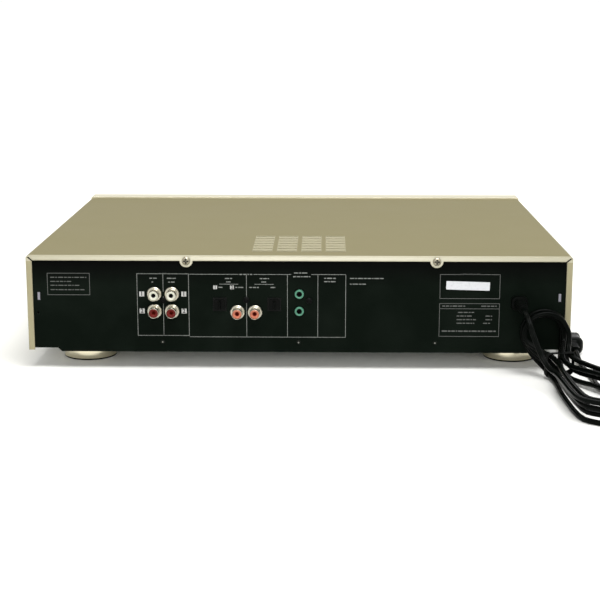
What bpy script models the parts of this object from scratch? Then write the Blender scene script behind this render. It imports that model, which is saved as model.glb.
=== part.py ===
"""A minidisc deck, modelled as its separate pieces.

Metres, +Z up. The front faces -Y, the sockets face +Y, and the floor is at Z = 0.
The origin is under the middle of the deck, measured without its mains lead.
"""

import math

import bmesh
import bpy
import numpy as np

# The deck as a whole
deck_width = 0.440
cover_top = 0.0945
cover_depth = 0.325
front_depth = 0.020
front_rise = 0.0015
gap = 0.0003
overrun = 0.002
dial_reach = 0.014
socket_reach = 0.0092

# Top cover, folded from one sheet
cover_sheet = 0.001
cover_bend = 0.002
cover_bottom = 0.0163
lip_drop = 0.004
side_lip = 0.0047
mitre_slit = 0.0008
tab_radius = 0.0053
tab_steps = 8
tab_places = (0.0905, -0.1111)
vent_slot_length = 0.0160
vent_slot_width = 0.0032
vent_column_step = 0.0201
vent_row_step = 0.0118
vent_from_rear = 0.0240
vent_columns = 4
vent_rows = 7

# Chassis pan and rear panel
pan_bottom = 0.0148
pan_sheet = 0.001
shelf_rise = 0.003
shelf_width = 0.0235
wall_jog_low = 0.046
wall_jog_high = 0.053
wall_drop = 0.0145
wall_inset = 0.0083
pan_slot_length = 0.034
pan_slot_width = 0.0035
pan_slot_step = 0.009
pan_slot_count = 7
pan_slot_side = 0.105
pan_slot_from_front = 0.070
panel_sheet = 0.001
tongue_low = 0.0577
tongue_high = 0.0640
tongue_thickness = 0.0020
pilot_drop = 0.0138
pilot_radius = 0.0010
dimple_radius = 0.0017
dimple_height = 0.0005
dimple_z = 0.0230
dimple_step = 0.1108

# Feet, turned, with a recess for the felt
foot_radius = 0.0222
foot_edge = 0.0016
foot_ring = 0.0050
foot_recess = 0.0020
foot_inset_side = 0.042
foot_inset_rear = 0.050
foot_inset_front = 0.042
foot_sides = 28

# Screws
screw_shank = 0.0014
cover_screw_head = 0.0036
cover_screw_height = 0.0022
cover_screw_length = 0.008
side_screw_z = 0.034
side_screw_inset = 0.055
jack_screw_head = 0.0026
jack_screw_height = 0.0016
jack_screw_length = 0.008
screw_sides = 12
screw_crown = ((0.55, 0.92), (0.9, 0.5))

# Sockets on the rear panel
line_jack_x = 0.1097
line_jack_z = 0.0558
jack_step = 0.0142
line_screw_z = 0.0577
coaxial_jack_x = 0.0424
coaxial_jack_z = 0.0481
coaxial_screw_z = 0.0584
collar_radius = 0.0058
collar_reach = 0.0016
jack_back = 0.0070
sleeve_radius = 0.00415
sleeve_wall = 0.0007
sleeve_bevel = 0.0003
insert_recess = 0.0006
pin_bore = 0.00165
pin_bore_depth = 0.0066
housing_wall = 0.0050
housing_depth = 0.011
housing_boss = 0.0030
jack_sides = 16
optical_in_x = 0.0638
optical_out_x = 0.0197
optical_z = 0.0546
optical_body = 0.0126
optical_body_depth = 0.0130
optical_nose = 0.0106
optical_nose_reach = 0.0006
optical_port = 0.0068
optical_port_depth = 0.0090
cap_flange = 0.0088
cap_flange_depth = 0.0014
cap_plug_length = 0.0062
cap_grip_width = 0.0014
cap_grip_height = 0.0068
cap_grip_reach = 0.0036
control_jack_x = -0.0006
control_jack_z = 0.0561
control_nose_radius = 0.0037
control_nose_reach = 0.0015
control_bore = 0.0018
control_screw_x = -0.0085
control_screw_z = 0.0578

# Strain relief and mains lead. The flat two-core lead is modelled round, with this diameter
lead_width = 0.0042
relief_from_side = 0.0420
relief_z = 0.0570
relief_inner = (0.0118, 0.0100)
relief_neck = (0.0102, 0.0084)
relief_boss = (0.0132, 0.0112)
relief_stem = (0.0096, 0.0086)
relief_tip = (0.0066, 0.0060)
relief_inner_length = 0.0050
relief_boss_length = 0.0050
relief_reach = 0.0280
relief_corner_share = 0.35
relief_step_share = 1.2

# Hank of the lead: tied where it turns from the panel onto the floor
hank_tie_from_side = 0.0130
hank_tie_along = 0.0400
hank_tilt = math.radians(14)
hank_bend = 0.0330
upper_run = 0.0400
lower_run = 0.1050
upper_bulb = 0.0140
lower_bulb = 0.0240
hank_waist = 0.0042
strand_step = 0.0056
layer_step = 0.0051
tie_lift = 0.0017
tie_spread = 0.0150
hank_layers = 4
loop_points = 24
run_points = 7
run_shares = (0, 0.063, 0.133, 0.203, 0.28, 0.406, 0.65, 1)
hank_start = 6 / loop_points
hank_climb = 1 + 13.5 / loop_points
climb_window = 1.5 / loop_points
hank_end = 4 + 13 / loop_points
tie_band = 0.0060
tie_sheet = 0.0008
tie_slack = 0.0006
tie_corner = 0.0030
hank_bevel_steps = 1
free_bevel_steps = 2
free_steps = 4

# Free points of the lead: sideways and backwards from the strain relief's tip, and the height
stretch_points = (
    (-0.0007, 0.0130, 0.0547),
    (-0.0025, 0.0192, 0.0485),
    (-0.0052, 0.0220, 0.0405),
    (-0.0080, 0.0235, 0.0335),
    (-0.0112, 0.0266, 0.0262),
    (-0.0145, 0.0325, 0.0206),
    (-0.0175, 0.0392, 0.0182),
)

# Sideways from the plug, backwards from the panel, and the rise above a lead that lies on the floor
tail_points = (
    (-0.0027, 0.0500, 0),
    (-0.0025, 0.0360, 0),
    (-0.0021, 0.0200, 0),
    (-0.0013, 0.0040, 0),
    (-0.0006, -0.0080, 0.0002),
    (-0.0002, -0.0160, 0.0018),
    (0, -0.0240, 0.0040),
)

# Plug with two flat blades, lying beside the rear corner
plug_beyond_side = 0.0115
plug_width = 0.0200
plug_height = 0.0150
plug_body_length = 0.0240
plug_sleeve_radius = 0.0042
plug_sleeve_length = 0.0120
plug_setback = 0.0480
plug_round = 0.0030
plug_corner_share = 0.45
sleeve_tip_share = 0.85
blade_width = 0.0063
blade_sheet = 0.0015
blade_length = 0.0170
blade_spacing = 0.0127

# Front panel
front_bottom = 0.0163
front_wall = 0.0030
front_face = 0.0035
front_bevel = 0.0012
front_corner = 0.0010
window_width = 0.132
window_foot = 0.0097
window_head = 0.0140
window_flange = 0.0020
window_flange_sheet = 0.0015
window_recess = 0.0003
slot_width = 0.077
slot_height = 0.009
slot_drop = 0.0200
flap_sheet = 0.0012
flap_depth = 0.0019
flap_pin_radius = 0.0007
flap_pin_length = 0.0022
flap_pin_sides = 8
post_radius = 0.0030
upper_post_out = 0.0280
upper_post_drop = 0.0110
side_post_in = 0.0170
side_post_rise = 0.0120
middle_post_share = 0.26
middle_post_dip = 0.0010
corner_post_in = 0.0240
corner_post_dip = 0.0070
inner_post_share = 0.361
inner_post_drop = 0.0060

# Keys: each has a cap, and a flange behind the face that holds it in
key_stand = 0.0020
key_flange = 0.0012
key_flange_sheet = 0.0010
key_corner = 0.0012
key_travel = 0.0009
power_travel = 0.0025
power_size = (0.026, 0.011)
power_from_side = 0.0300
power_drop = 0.0045
eject_size = (0.015, 0.008)
eject_share = 0.2645
eject_drop = 0.0025
row_key_height = 0.0090
row_key_gap = 0.0070
row_from_window = 0.0145
row_from_side = 0.0375
row_parts = {"record_button": 5, "stop_button": 6, "pause_button": 6, "play_button": 10}
low_row_rise = 0.0147

# Turned controls
turned_rise_share = 0.6236
dial_share = 0.7686
dial_radius = 0.0180
dial_dimple = 0.0045
dial_dimple_depth = 0.0015
dial_dimple_curve = ((0.75, 0.7), (0.4, 1))
dial_dimple_orbit = 0.0105
level_share = 0.4766
level_radius = 0.0135
level_reach = 0.0125
phones_level_from_side = 0.0550
phones_level_radius = 0.0065
phones_level_reach = 0.0100
knob_standoff = 0.0008
knob_bevel = 0.0010
shaft_radius = 0.0030
pointer_width = 0.0011
pointer_depth = 0.0007
pointer_start_share = 0.333
dial_sides = 36
level_sides = 24
phones_sides = 18
phones_from_side = 0.0250
phones_bore = 0.0033
phones_ring = 0.0065
phones_ring_reach = 0.0018
phones_barrel = 0.0052
phones_body = 0.0120
phones_body_depth = 0.0280
timer_from_side = 0.0850
timer_slot_width = 0.0140
timer_slot_height = 0.0044
timer_knob_width = 0.0050
timer_travel = 0.0040

# Front board with the display, behind the face
board_sheet = 0.0016
board_setback = 0.0105
board_side_gap = 0.0130
board_foot = 0.0057
board_top_gap = 0.0090
board_notch_drop = 0.0125
board_notch_side = 0.0335
board_corner_in = 0.0400
board_corner_rise = 0.0150
display_side = 0.0080
display_rim = 0.0030
switch_size = 0.0060
encoder_size = 0.0130

# Main board, transformer
main_left_in = 0.1150
main_right_in = 0.0350
main_depth = 0.175
main_rear_gap = 0.0010
main_lift = 0.0085
standoff_radius = 0.0030
standoff_inset = 0.012
capacitor_radius = 0.0080
capacitor_height = 0.026
capacitor_step = 0.022
heat_sink = (0.050, 0.012, 0.034)
heat_sink_fins = 6
heat_sink_fin = 0.0015
heat_sink_from_rear = 0.060
chip_size = 0.016
chip_height = 0.0022
chip_step = 0.034
chip_first_share = 0.6
core_size = (0.050, 0.032, 0.044)
core_inset = 0.030
core_from_rear = 0.062
coil_bulge = 0.0080
coil_margin = 0.0085
core_foot = 0.0090
core_foot_sheet = 0.0015

# Mechanism: frame, cartridge carrier, spindle, sled, guide rod and lead screw
cartridge_width = 0.072
cartridge_height = 0.005
carrier_play = 0.0005
carrier_wall = 0.0012
carrier_depth = 0.066
carrier_setback = 0.0145
carrier_drop = 0.005
carrier_window = 0.020
carrier_window_left = 0.010
carrier_window_right = 0.0345
carrier_pin_radius = 0.0012
carrier_pin_inset = 0.010
carrier_pin_sides = 10
frame_side_gap = 0.0008
frame_sheet = 0.0015
frame_foot = 0.0100
frame_plate_drop = 0.0160
frame_rise = 0.0030
frame_front_gap = 0.0020
frame_rear_margin = 0.0060
frame_window_margin = 0.0120
motor_radius = 0.0070
motor_height = 0.0030
spindle_radius = 0.0015
turntable_radius = 0.0055
turntable_height = 0.0042
hub_radius = 0.0020
hub_height = 0.0016
hub_tip_share = 0.6
sled_lift = 0.0010
sled_height = 0.0039
lens_start = 0.0150
lens_radius = 0.0035
lens_height = 0.0014
sled_left = 0.0075
sled_right = 0.0050
sled_half = 0.0090
sled_travel = 0.0145
rail_offset = 0.0135
rail_radius = 0.0012
rail_lift = 0.0029
rail_sides = 12
screw_radius = 0.0012
screw_gear_radius = 0.0020
screw_gear_sheet = 0.0025
running_gap = 0.0002
block_width = 0.0030
block_half = 0.0032
block_rise = 0.0020

# Places that follow from the sizes above
half_width = deck_width / 2
socket_overhang = socket_reach - cover_sheet - gap
half_depth = (dial_reach + front_depth + gap + cover_depth + socket_overhang) / 2
cover_rear_y = half_depth - socket_overhang
cover_front_y = cover_rear_y - cover_depth
panel_face_y = cover_rear_y - cover_sheet - gap
panel_back_y = panel_face_y - panel_sheet
front_back_y = cover_front_y - gap
front_face_y = front_back_y - front_depth
front_inner_y = front_face_y + front_face
front_top = cover_top + front_rise
board_front_y = front_face_y + board_setback
board_back_y = board_front_y + board_sheet
shelf_z = pan_bottom + shelf_rise
pan_top = pan_bottom + pan_sheet
wall_top = cover_top - wall_drop
pan_side = half_width - cover_sheet - gap
wall_side = half_width - wall_inset
shelf_edge = half_width - shelf_width
step_foot = shelf_edge - shelf_rise
pan_front_y = front_back_y + gap
pan_rear_y = panel_back_y - gap
lip_z = cover_top - lip_drop
slot_z = cover_top - slot_drop
slot_side = slot_width / 2
side_room = half_width - slot_side
low_row_z = front_bottom + low_row_rise
turned_row_z = front_bottom + turned_rise_share * (front_top - front_bottom)
window_low = front_bottom + window_foot
window_high = slot_z - slot_height / 2 - window_head
window_height = window_high - window_low
window_z = (window_low + window_high) / 2
display_width = window_width - 2 * display_side
display_height = window_height - 2 * display_rim
dial_place = (slot_side + dial_share * side_room, turned_row_z)
level_place = (slot_side + level_share * side_room, turned_row_z)
phones_level_place = (phones_level_from_side - half_width, low_row_z)
phones_place = (phones_from_side - half_width, low_row_z)
timer_place = (timer_from_side - half_width, low_row_z)
board_left = board_side_gap - half_width
board_right = half_width - board_side_gap
board_low = front_bottom + board_foot
board_high = front_top - board_top_gap
board_notch_z = slot_z - board_notch_drop
board_notch_x = slot_side + board_notch_side
board_corner_x = board_corner_in - half_width
board_corner_z = low_row_z + board_corner_rise
main_left = main_left_in - half_width
main_right = half_width - main_right_in
main_low = pan_top + main_lift
main_top = main_low + board_sheet
socket_back_y = panel_face_y - jack_back
housing_front_y = socket_back_y - gap
housing_back_y = housing_front_y - housing_depth
carrier_low = slot_z - cartridge_height / 2 - carrier_play - carrier_wall
carrier_high = slot_z + cartridge_height / 2 + carrier_play + carrier_wall
carrier_side = cartridge_width / 2 + carrier_play + carrier_wall
carrier_front_y = front_face_y + carrier_setback
carrier_back_y = carrier_front_y + carrier_depth
spindle_y = carrier_front_y + carrier_depth / 2
frame_inner = carrier_side + frame_side_gap
frame_outer = frame_inner + frame_sheet
frame_plate = slot_z - frame_plate_drop
frame_plate_top = frame_plate + frame_sheet
frame_front_y = front_back_y + frame_front_gap
frame_back_y = carrier_back_y + frame_rear_margin
rail_z = frame_plate_top + rail_lift
lead_radius = lead_width / 2
lead_rest = lead_radius + gap
relief_x = relief_from_side - half_width
hank_tie_x = hank_tie_from_side - half_width
lead_exit = (relief_x, panel_face_y + relief_reach, relief_z)
plug_x = -half_width - plug_beyond_side
plug_z = plug_height / 2 + gap
plug_back_y = panel_face_y - plug_setback

# Colours, as linear RGB
CHAMPAGNE = (0.42, 0.37, 0.25)
BLACK_SHEET = (0.012, 0.013, 0.013)
BLACK_PLASTIC = (0.015, 0.015, 0.016)
BARE_STEEL = (0.55, 0.56, 0.57)


def finish(name, colour, roughness, metallic=0.0):
    """A plain Principled material."""
    made = bpy.data.materials.get(name) or bpy.data.materials.new(name)
    made.use_nodes = True
    shader = made.node_tree.nodes["Principled BSDF"]
    shader.inputs["Base Color"].default_value = (*colour, 1)
    shader.inputs["Roughness"].default_value = roughness
    shader.inputs["Metallic"].default_value = metallic
    return made


def clear_scene():
    for old in list(bpy.data.objects):
        bpy.data.objects.remove(old, do_unlink=True)


def place(name, shape, material, origin=(0, 0, 0), crease=35):
    """Turns a bmesh in world coordinates into an object whose own origin is at origin."""
    bmesh.ops.recalc_face_normals(shape, faces=shape.faces[:])
    bmesh.ops.translate(shape, verts=shape.verts[:], vec=[-value for value in origin])
    mesh = bpy.data.meshes.new(name)
    shape.to_mesh(mesh)
    shape.free()
    mesh.shade_smooth()
    mesh.set_sharp_from_angle(angle=math.radians(crease))
    mesh.materials.append(material)
    made = bpy.data.objects.new(name, mesh)
    made.location = origin
    bpy.context.scene.collection.objects.link(made)
    return made


def shape_with(piece, operation, name, shape):
    """Cuts from a piece, or joins to it, the closed forms of a helper that isn't rendered."""
    helper = place(f"{piece.name}_{name}", shape, piece.data.materials[0])
    helper.hide_render = True
    helper.display_type = "WIRE"
    step = piece.modifiers.new(name, "BOOLEAN")
    step.operation = operation
    step.solver = "EXACT"
    step.object = helper
    return piece


def cut(piece, name, shape):
    return shape_with(piece, "DIFFERENCE", name, shape)


def unite(piece, name, shape):
    return shape_with(piece, "UNION", name, shape)


def add_rings(shape, rings, closed=False):
    """Joins rings of points with faces. A ring of one point is a pole, and open ends are capped."""
    made = [[shape.verts.new(point) for point in ring] for ring in rings]
    pairs = list(zip(made, made[1:]))
    if closed:
        pairs.append((made[-1], made[0]))
    for first, second in pairs:
        count = max(len(first), len(second))
        for i in range(count):
            j = (i + 1) % count
            corners = [first[i % len(first)], first[j % len(first)]]
            corners += [second[j % len(second)], second[i % len(second)]]
            shape.faces.new(list(dict.fromkeys(corners)))
    if not closed:
        for end in (made[0], made[-1]):
            if len(end) > 2:
                shape.faces.new(end)


def add_prism(shape, outline, axis, start, end):
    """Extrudes an outline of pairs along the named axis."""
    place_in = "XYZ".index(axis)
    rings = []
    for value in (start, end):
        rings.append([(*pair[:place_in], value, *pair[place_in:]) for pair in outline])
    add_rings(shape, rings)


def add_box(shape, low, high):
    outline = [(low[0], low[1]), (high[0], low[1]), (high[0], high[1]), (low[0], high[1])]
    add_prism(shape, outline, "Z", low[2], high[2])


def circle(radius, sides, centre=(0, 0)):
    """Points of a regular polygon that has a flat side towards each axis."""
    turns = [(i + 0.5) * math.tau / sides for i in range(sides)]
    return [(centre[0] + radius * math.cos(a), centre[1] + radius * math.sin(a)) for a in turns]


def add_turned(shape, profile, centre, axis, sides):
    """Turns pairs of radius and place along the axis, from pole to pole."""
    place_in = "XYZ".index(axis)
    across = [value for i, value in enumerate(centre) if i != place_in]
    rings = []
    for radius, along in profile:
        flat = [tuple(across)] if radius == 0 else circle(radius, sides, across)
        level = centre[place_in] + along
        rings.append([(*pair[:place_in], level, *pair[place_in:]) for pair in flat])
    add_rings(shape, rings)


def add_rod(shape, radius, centre, axis, start, end, sides):
    """A plain cylinder, between two places along its axis that are counted from its centre."""
    add_turned(shape, [(0, start), (radius, start), (radius, end), (0, end)], centre, axis, sides)


def rounded_rectangle(width, height, radius, steps=3):
    """Outline of a rectangle about the origin with round corners."""
    points = []
    for corner, (sign_x, sign_y) in enumerate(((1, 1), (-1, 1), (-1, -1), (1, -1))):
        for i in range(steps + 1):
            turn = (corner + i / steps) * math.pi / 2
            x = sign_x * (width / 2 - radius) + radius * math.cos(turn)
            points.append((x, sign_y * (height / 2 - radius) + radius * math.sin(turn)))
    return points


def moved(outline, x, y):
    return [(x + a, y + b) for a, b in outline]


def rounded_path(corners, radius, steps=4):
    """An open path whose inner corners are arcs."""
    path = [corners[0]]
    for before, corner, after in zip(corners, corners[1:], corners[2:]):
        at = np.array(corner, float)
        back = np.array(before) - at
        onward = np.array(after) - at
        back /= np.linalg.norm(back)
        onward /= np.linalg.norm(onward)
        half = math.acos(float(np.clip(back @ onward, -1, 1))) / 2
        middle = at + (back + onward) / np.linalg.norm(back + onward) * radius / math.sin(half)
        first = at + back * radius / math.tan(half) - middle
        last = at + onward * radius / math.tan(half) - middle
        sweep = math.pi - 2 * half
        for i in range(steps + 1):
            share = i / steps
            one = math.sin((1 - share) * sweep) / math.sin(sweep)
            two = math.sin(share * sweep) / math.sin(sweep)
            path.append(tuple(middle + one * first + two * last))
    path.append(corners[-1])
    return path


def folded_sheet(path, thickness):
    """Closed outline of a sheet whose one face follows path. Positive thickness lies to the right."""
    points = [np.array(point, float) for point in path]
    normals = []
    for start, end in zip(points, points[1:]):
        along = (end - start) / np.linalg.norm(end - start)
        normals.append(np.array((along[1], -along[0])))
    other = [points[0] + thickness * normals[0]]
    for i in range(1, len(points) - 1):
        both = normals[i - 1] + normals[i]
        other.append(points[i] + thickness * both / (1 + normals[i - 1] @ normals[i]))
    other.append(points[-1] + thickness * normals[-1])
    return [tuple(point) for point in points + other[::-1]]


def mirrored(path):
    """A path that starts on the left, followed by its mirror image on the right."""
    return path + [(-x, z) for x, z in reversed(path)]


def make_top_cover(material):
    corners = [(-half_width, cover_bottom), (-half_width, cover_top)]
    path = rounded_path(mirrored(corners), cover_bend)
    shape = bmesh.new()
    add_prism(shape, folded_sheet(path, cover_sheet), "Y", cover_front_y, cover_rear_y)
    cover = place("top_cover", shape, material)

    lips = bmesh.new()
    sink = cover_sheet / 2
    upper_end = half_width - side_lip * sink / lip_drop - mitre_slit
    lower_end = half_width - side_lip - mitre_slit
    outline = [(-upper_end, cover_top - sink), (upper_end, cover_top - sink), (lower_end, lip_z)]
    for centre in tab_places:
        for i in range(tab_steps + 1):
            turn = i * math.pi / tab_steps
            outline.append((centre + tab_radius * math.cos(turn), lip_z - tab_radius * math.sin(turn)))
    outline.append((-lower_end, lip_z))
    add_prism(lips, outline, "Y", cover_rear_y - cover_sheet, cover_rear_y)
    for side in (-1, 1):
        outer = side * (half_width - sink)
        inner = side * (half_width - side_lip)
        outer_top = cover_top - lip_drop * sink / side_lip - mitre_slit
        lip = [(outer, cover_bottom), (outer, outer_top)]
        lip += [(inner, lip_z - mitre_slit), (inner, cover_bottom)]
        add_prism(lips, lip, "Y", cover_rear_y - cover_sheet, cover_rear_y)
    unite(cover, "lips", lips)

    holes = bmesh.new()
    for column in range(vent_columns):
        x = (column - (vent_columns - 1) / 2) * vent_column_step
        for row in range(vent_rows):
            y = cover_rear_y - vent_from_rear - row * vent_row_step
            low = (x - vent_slot_length / 2, y - vent_slot_width / 2, cover_top - cover_sheet - overrun)
            high = (x + vent_slot_length / 2, y + vent_slot_width / 2, cover_top + overrun)
            add_box(holes, low, high)
    for x in tab_places:
        add_rod(holes, screw_shank + gap, (x, cover_rear_y, lip_z), "Y", -overrun, overrun, screw_sides)
    for side in (-1, 1):
        for y in side_screw_places():
            centre = (side * half_width, y, side_screw_z)
            add_rod(holes, screw_shank + gap, centre, "X", -overrun, overrun, screw_sides)
    return cut(cover, "holes", holes)


def side_screw_places():
    return (cover_front_y + side_screw_inset, cover_rear_y - side_screw_inset)


def make_chassis_pan(material):
    left = [(-wall_side, wall_top), (-wall_side, wall_jog_high), (-pan_side, wall_jog_low)]
    left += [(-pan_side, shelf_z), (-shelf_edge, shelf_z), (-step_foot, pan_bottom)]
    shape = bmesh.new()
    add_prism(shape, folded_sheet(mirrored(left), -pan_sheet), "Y", pan_front_y, pan_rear_y)
    pan = place("chassis_pan", shape, material)

    tongues = bmesh.new()
    for side in (-1, 1):
        reach = sorted((side * wall_side, side * (wall_side - tongue_thickness)))
        low = (reach[0], pan_rear_y - tongue_thickness, tongue_low)
        add_box(tongues, low, (reach[1], panel_face_y, tongue_high))
    unite(pan, "tongues", tongues)

    holes = bmesh.new()
    for side in (-1, 1):
        for i in range(pan_slot_count):
            y = pan_front_y + pan_slot_from_front + i * pan_slot_step
            x = side * pan_slot_side
            low = (x - pan_slot_length / 2, y - pan_slot_width / 2, pan_bottom - overrun)
            add_box(holes, low, (x + pan_slot_length / 2, y + pan_slot_width / 2, pan_top + overrun))
        for y in side_screw_places():
            centre = (side * pan_side, y, side_screw_z)
            add_rod(holes, screw_shank + gap, centre, "X", -overrun, overrun, screw_sides)
    return cut(pan, "holes", holes)


def jack_places():
    """Names and places of the phono sockets: four line sockets and two coaxial ones."""
    half = jack_step / 2
    found = {}
    for row, direction in ((1, "upper"), (-1, "lower")):
        for column, number in ((1, 1), (-1, 2)):
            name = f"line_jack_{direction}_{number}"
            found[name] = (line_jack_x + column * half, line_jack_z + row * half)
    found["coaxial_jack_1"] = (coaxial_jack_x + half, coaxial_jack_z)
    found["coaxial_jack_2"] = (coaxial_jack_x - half, coaxial_jack_z)
    return found


def control_jack_places():
    return [(control_jack_x, control_jack_z + side * jack_step / 2) for side in (1, -1)]


def jack_screw_places():
    return {
        "line_jack_screw": (line_jack_x, line_screw_z),
        "coaxial_jack_screw": (coaxial_jack_x, coaxial_screw_z),
        "control_jack_screw": (control_screw_x, control_screw_z),
    }


def make_rear_panel(material):
    top = cover_top - cover_sheet - gap
    left = [(-pan_side, top), (-pan_side, shelf_z), (-shelf_edge, shelf_z), (-step_foot, pan_bottom)]
    shape = bmesh.new()
    add_prism(shape, mirrored(left), "Y", panel_back_y, panel_face_y)
    panel = place("rear_panel", shape, material)

    dimples = bmesh.new()
    for i in (-1, 0, 1):
        centre = (i * dimple_step, panel_face_y, dimple_z)
        add_rod(dimples, dimple_radius, centre, "Y", -panel_sheet / 2, dimple_height, screw_sides)
    unite(panel, "dimples", dimples)

    holes = bmesh.new()

    def round_hole(x, z, radius, sides):
        centre = (x, panel_back_y, z)
        add_rod(holes, radius, centre, "Y", -overrun, panel_sheet + overrun, sides)

    for x, z in jack_places().values():
        round_hole(x, z, collar_radius + gap, jack_sides)
    for x, z in control_jack_places():
        round_hole(x, z, control_nose_radius + gap, jack_sides)
    for x, z in jack_screw_places().values():
        round_hole(x, z, screw_shank + gap, screw_sides)
    for x in tab_places:
        round_hole(x, lip_z, screw_shank + gap, screw_sides)
    nose = optical_nose / 2 + gap
    for x in (optical_in_x, optical_out_x):
        low = (x - nose, panel_back_y - overrun, optical_z - nose)
        add_box(holes, low, (x + nose, panel_face_y + overrun, optical_z + nose))
    for side in (-1, 1):
        near = wall_side + gap
        far = wall_side - tongue_thickness - gap
        reach = sorted((side * near, side * far))
        low = (reach[0], panel_back_y - overrun, tongue_low - gap)
        add_box(holes, low, (reach[1], panel_face_y + overrun, tongue_high + gap))
        round_hole(side * wall_side, (tongue_low + tongue_high) / 2 - pilot_drop, pilot_radius, screw_sides)
    neck = rounded_rectangle(
        relief_neck[0] + 2 * gap, relief_neck[1] + 2 * gap, relief_corner_share * relief_neck[1]
    )
    outline = moved(neck, relief_x, relief_z)
    add_prism(holes, outline, "Y", panel_back_y - overrun, panel_face_y + overrun)
    return cut(panel, "holes", holes)


def make_feet(material):
    """Four turned feet. Only the ring round the recess stands on the floor."""
    height = pan_bottom - gap
    profile = [
        (0, foot_recess),
        (foot_radius - foot_edge - foot_ring, foot_recess),
        (foot_radius - foot_edge - foot_ring, 0),
        (foot_radius - foot_edge, 0),
        (foot_radius, foot_edge),
        (foot_radius, height - foot_edge / 2),
        (foot_radius - foot_edge / 2, height),
        (0, height),
    ]
    rows = {"front": cover_front_y + foot_inset_front, "rear": cover_rear_y - foot_inset_rear}
    for row, y in rows.items():
        for side, word in ((-1, "right"), (1, "left")):
            shape = bmesh.new()
            centre = (side * (half_width - foot_inset_side), y, 0)
            add_turned(shape, profile, centre, "Z", foot_sides)
            place(f"foot_{row}_{word}", shape, material, centre)


def screw_shape(head, height, length):
    """Half outline of a round-headed screw whose head sits on the plane at zero."""
    crown = [(head * out, height * up) for out, up in screw_crown]
    shank = [(screw_shank, 0), (screw_shank, -length), (0, -length)]
    return [(0, height), *crown, (head, 0), *shank]


def make_screws(material):
    for number, x in enumerate(tab_places, 1):
        shape = bmesh.new()
        profile = screw_shape(cover_screw_head, cover_screw_height, cover_screw_length)
        centre = (x, cover_rear_y + gap, lip_z)
        add_turned(shape, profile, centre, "Y", screw_sides)
        place(f"cover_screw_rear_{number}", shape, material, centre)
    for side, word in ((-1, "right"), (1, "left")):
        for row, y in zip(("front", "rear"), side_screw_places()):
            shape = bmesh.new()
            profile = screw_shape(cover_screw_head, cover_screw_height, cover_screw_length)
            outward = [(radius, side * along) for radius, along in profile]
            centre = (side * (half_width + gap), y, side_screw_z)
            add_turned(shape, outward, centre, "X", screw_sides)
            place(f"cover_screw_{row}_{word}", shape, material, centre)
    for name, (x, z) in jack_screw_places().items():
        shape = bmesh.new()
        profile = screw_shape(jack_screw_head, jack_screw_height, jack_screw_length)
        centre = (x, panel_face_y + gap, z)
        add_turned(shape, profile, centre, "Y", screw_sides)
        place(name, shape, material, centre)


def make_phono_sockets(material):
    """A collar in the panel, a metal sleeve round an insulator, and the hole for the plug's pin."""
    inner = sleeve_radius - sleeve_wall
    face = socket_reach - insert_recess
    profile = [
        (0, -jack_back),
        (collar_radius, -jack_back),
        (collar_radius, collar_reach),
        (sleeve_radius, collar_reach),
        (sleeve_radius, socket_reach - sleeve_bevel),
        (sleeve_radius - sleeve_bevel, socket_reach),
        (inner, socket_reach),
        (inner, face),
        (pin_bore, face),
        (pin_bore, face - pin_bore_depth),
        (0, face - pin_bore_depth),
    ]
    for name, (x, z) in jack_places().items():
        shape = bmesh.new()
        centre = (x, panel_face_y, z)
        add_turned(shape, profile, centre, "Y", jack_sides)
        place(name, shape, material, centre)


def make_housing(name, places, screw, material):
    """A moulded block behind a group of sockets. It stands on the board and takes their screw."""
    reach = [value for x, _ in places for value in (x - housing_wall, x + housing_wall)]
    reach += [screw[0] - housing_boss, screw[0] + housing_boss]
    top = max([z for _, z in places] + [screw[1]]) + housing_wall
    shape = bmesh.new()
    add_box(shape, (min(reach), housing_back_y, main_top + gap), (max(reach), housing_front_y, top))
    block = place(name, shape, material)
    boss = bmesh.new()
    centre = (screw[0], housing_front_y, screw[1])
    add_rod(boss, housing_boss, centre, "Y", -gap, panel_back_y - gap - housing_front_y, jack_sides)
    unite(block, "boss", boss)
    hole = bmesh.new()
    centre = (screw[0], panel_face_y, screw[1])
    add_rod(hole, screw_shank + gap, centre, "Y", -jack_screw_length - overrun, overrun, screw_sides)
    return cut(block, "screw_hole", hole)


def make_control_jacks(screw, material):
    """One moulded block with the round noses of two small jacks, each with its hole."""
    places = control_jack_places()
    block = make_housing("control_jacks", places, screw, material)
    noses = bmesh.new()
    bores = bmesh.new()
    back = housing_front_y - panel_face_y
    for x, z in places:
        centre = (x, panel_face_y, z)
        add_rod(noses, control_nose_radius, centre, "Y", back - gap, control_nose_reach, jack_sides)
        add_rod(bores, control_bore, centre, "Y", back - control_bore, overrun, jack_sides)
    unite(block, "noses", noses)
    cut(block, "bores", bores)


def make_optical_port(name, x, material):
    """A square receptacle whose nose fills its hole in the panel."""
    half = optical_body / 2
    front = panel_back_y - gap
    shape = bmesh.new()
    low = (x - half, front - optical_body_depth, optical_z - half)
    add_box(shape, low, (x + half, front, optical_z + half))
    port = place(f"{name}_module", shape, material)
    nose = bmesh.new()
    half = optical_nose / 2
    high = (x + half, panel_face_y + optical_nose_reach, optical_z + half)
    add_box(nose, (x - half, front - gap, optical_z - half), high)
    unite(port, "nose", nose)
    hole = bmesh.new()
    half = optical_port / 2
    mouth = panel_face_y + optical_nose_reach
    low = (x - half, mouth - optical_port_depth, optical_z - half)
    add_box(hole, low, (x + half, mouth + overrun, optical_z + half))
    return cut(port, "hole", hole)


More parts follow.
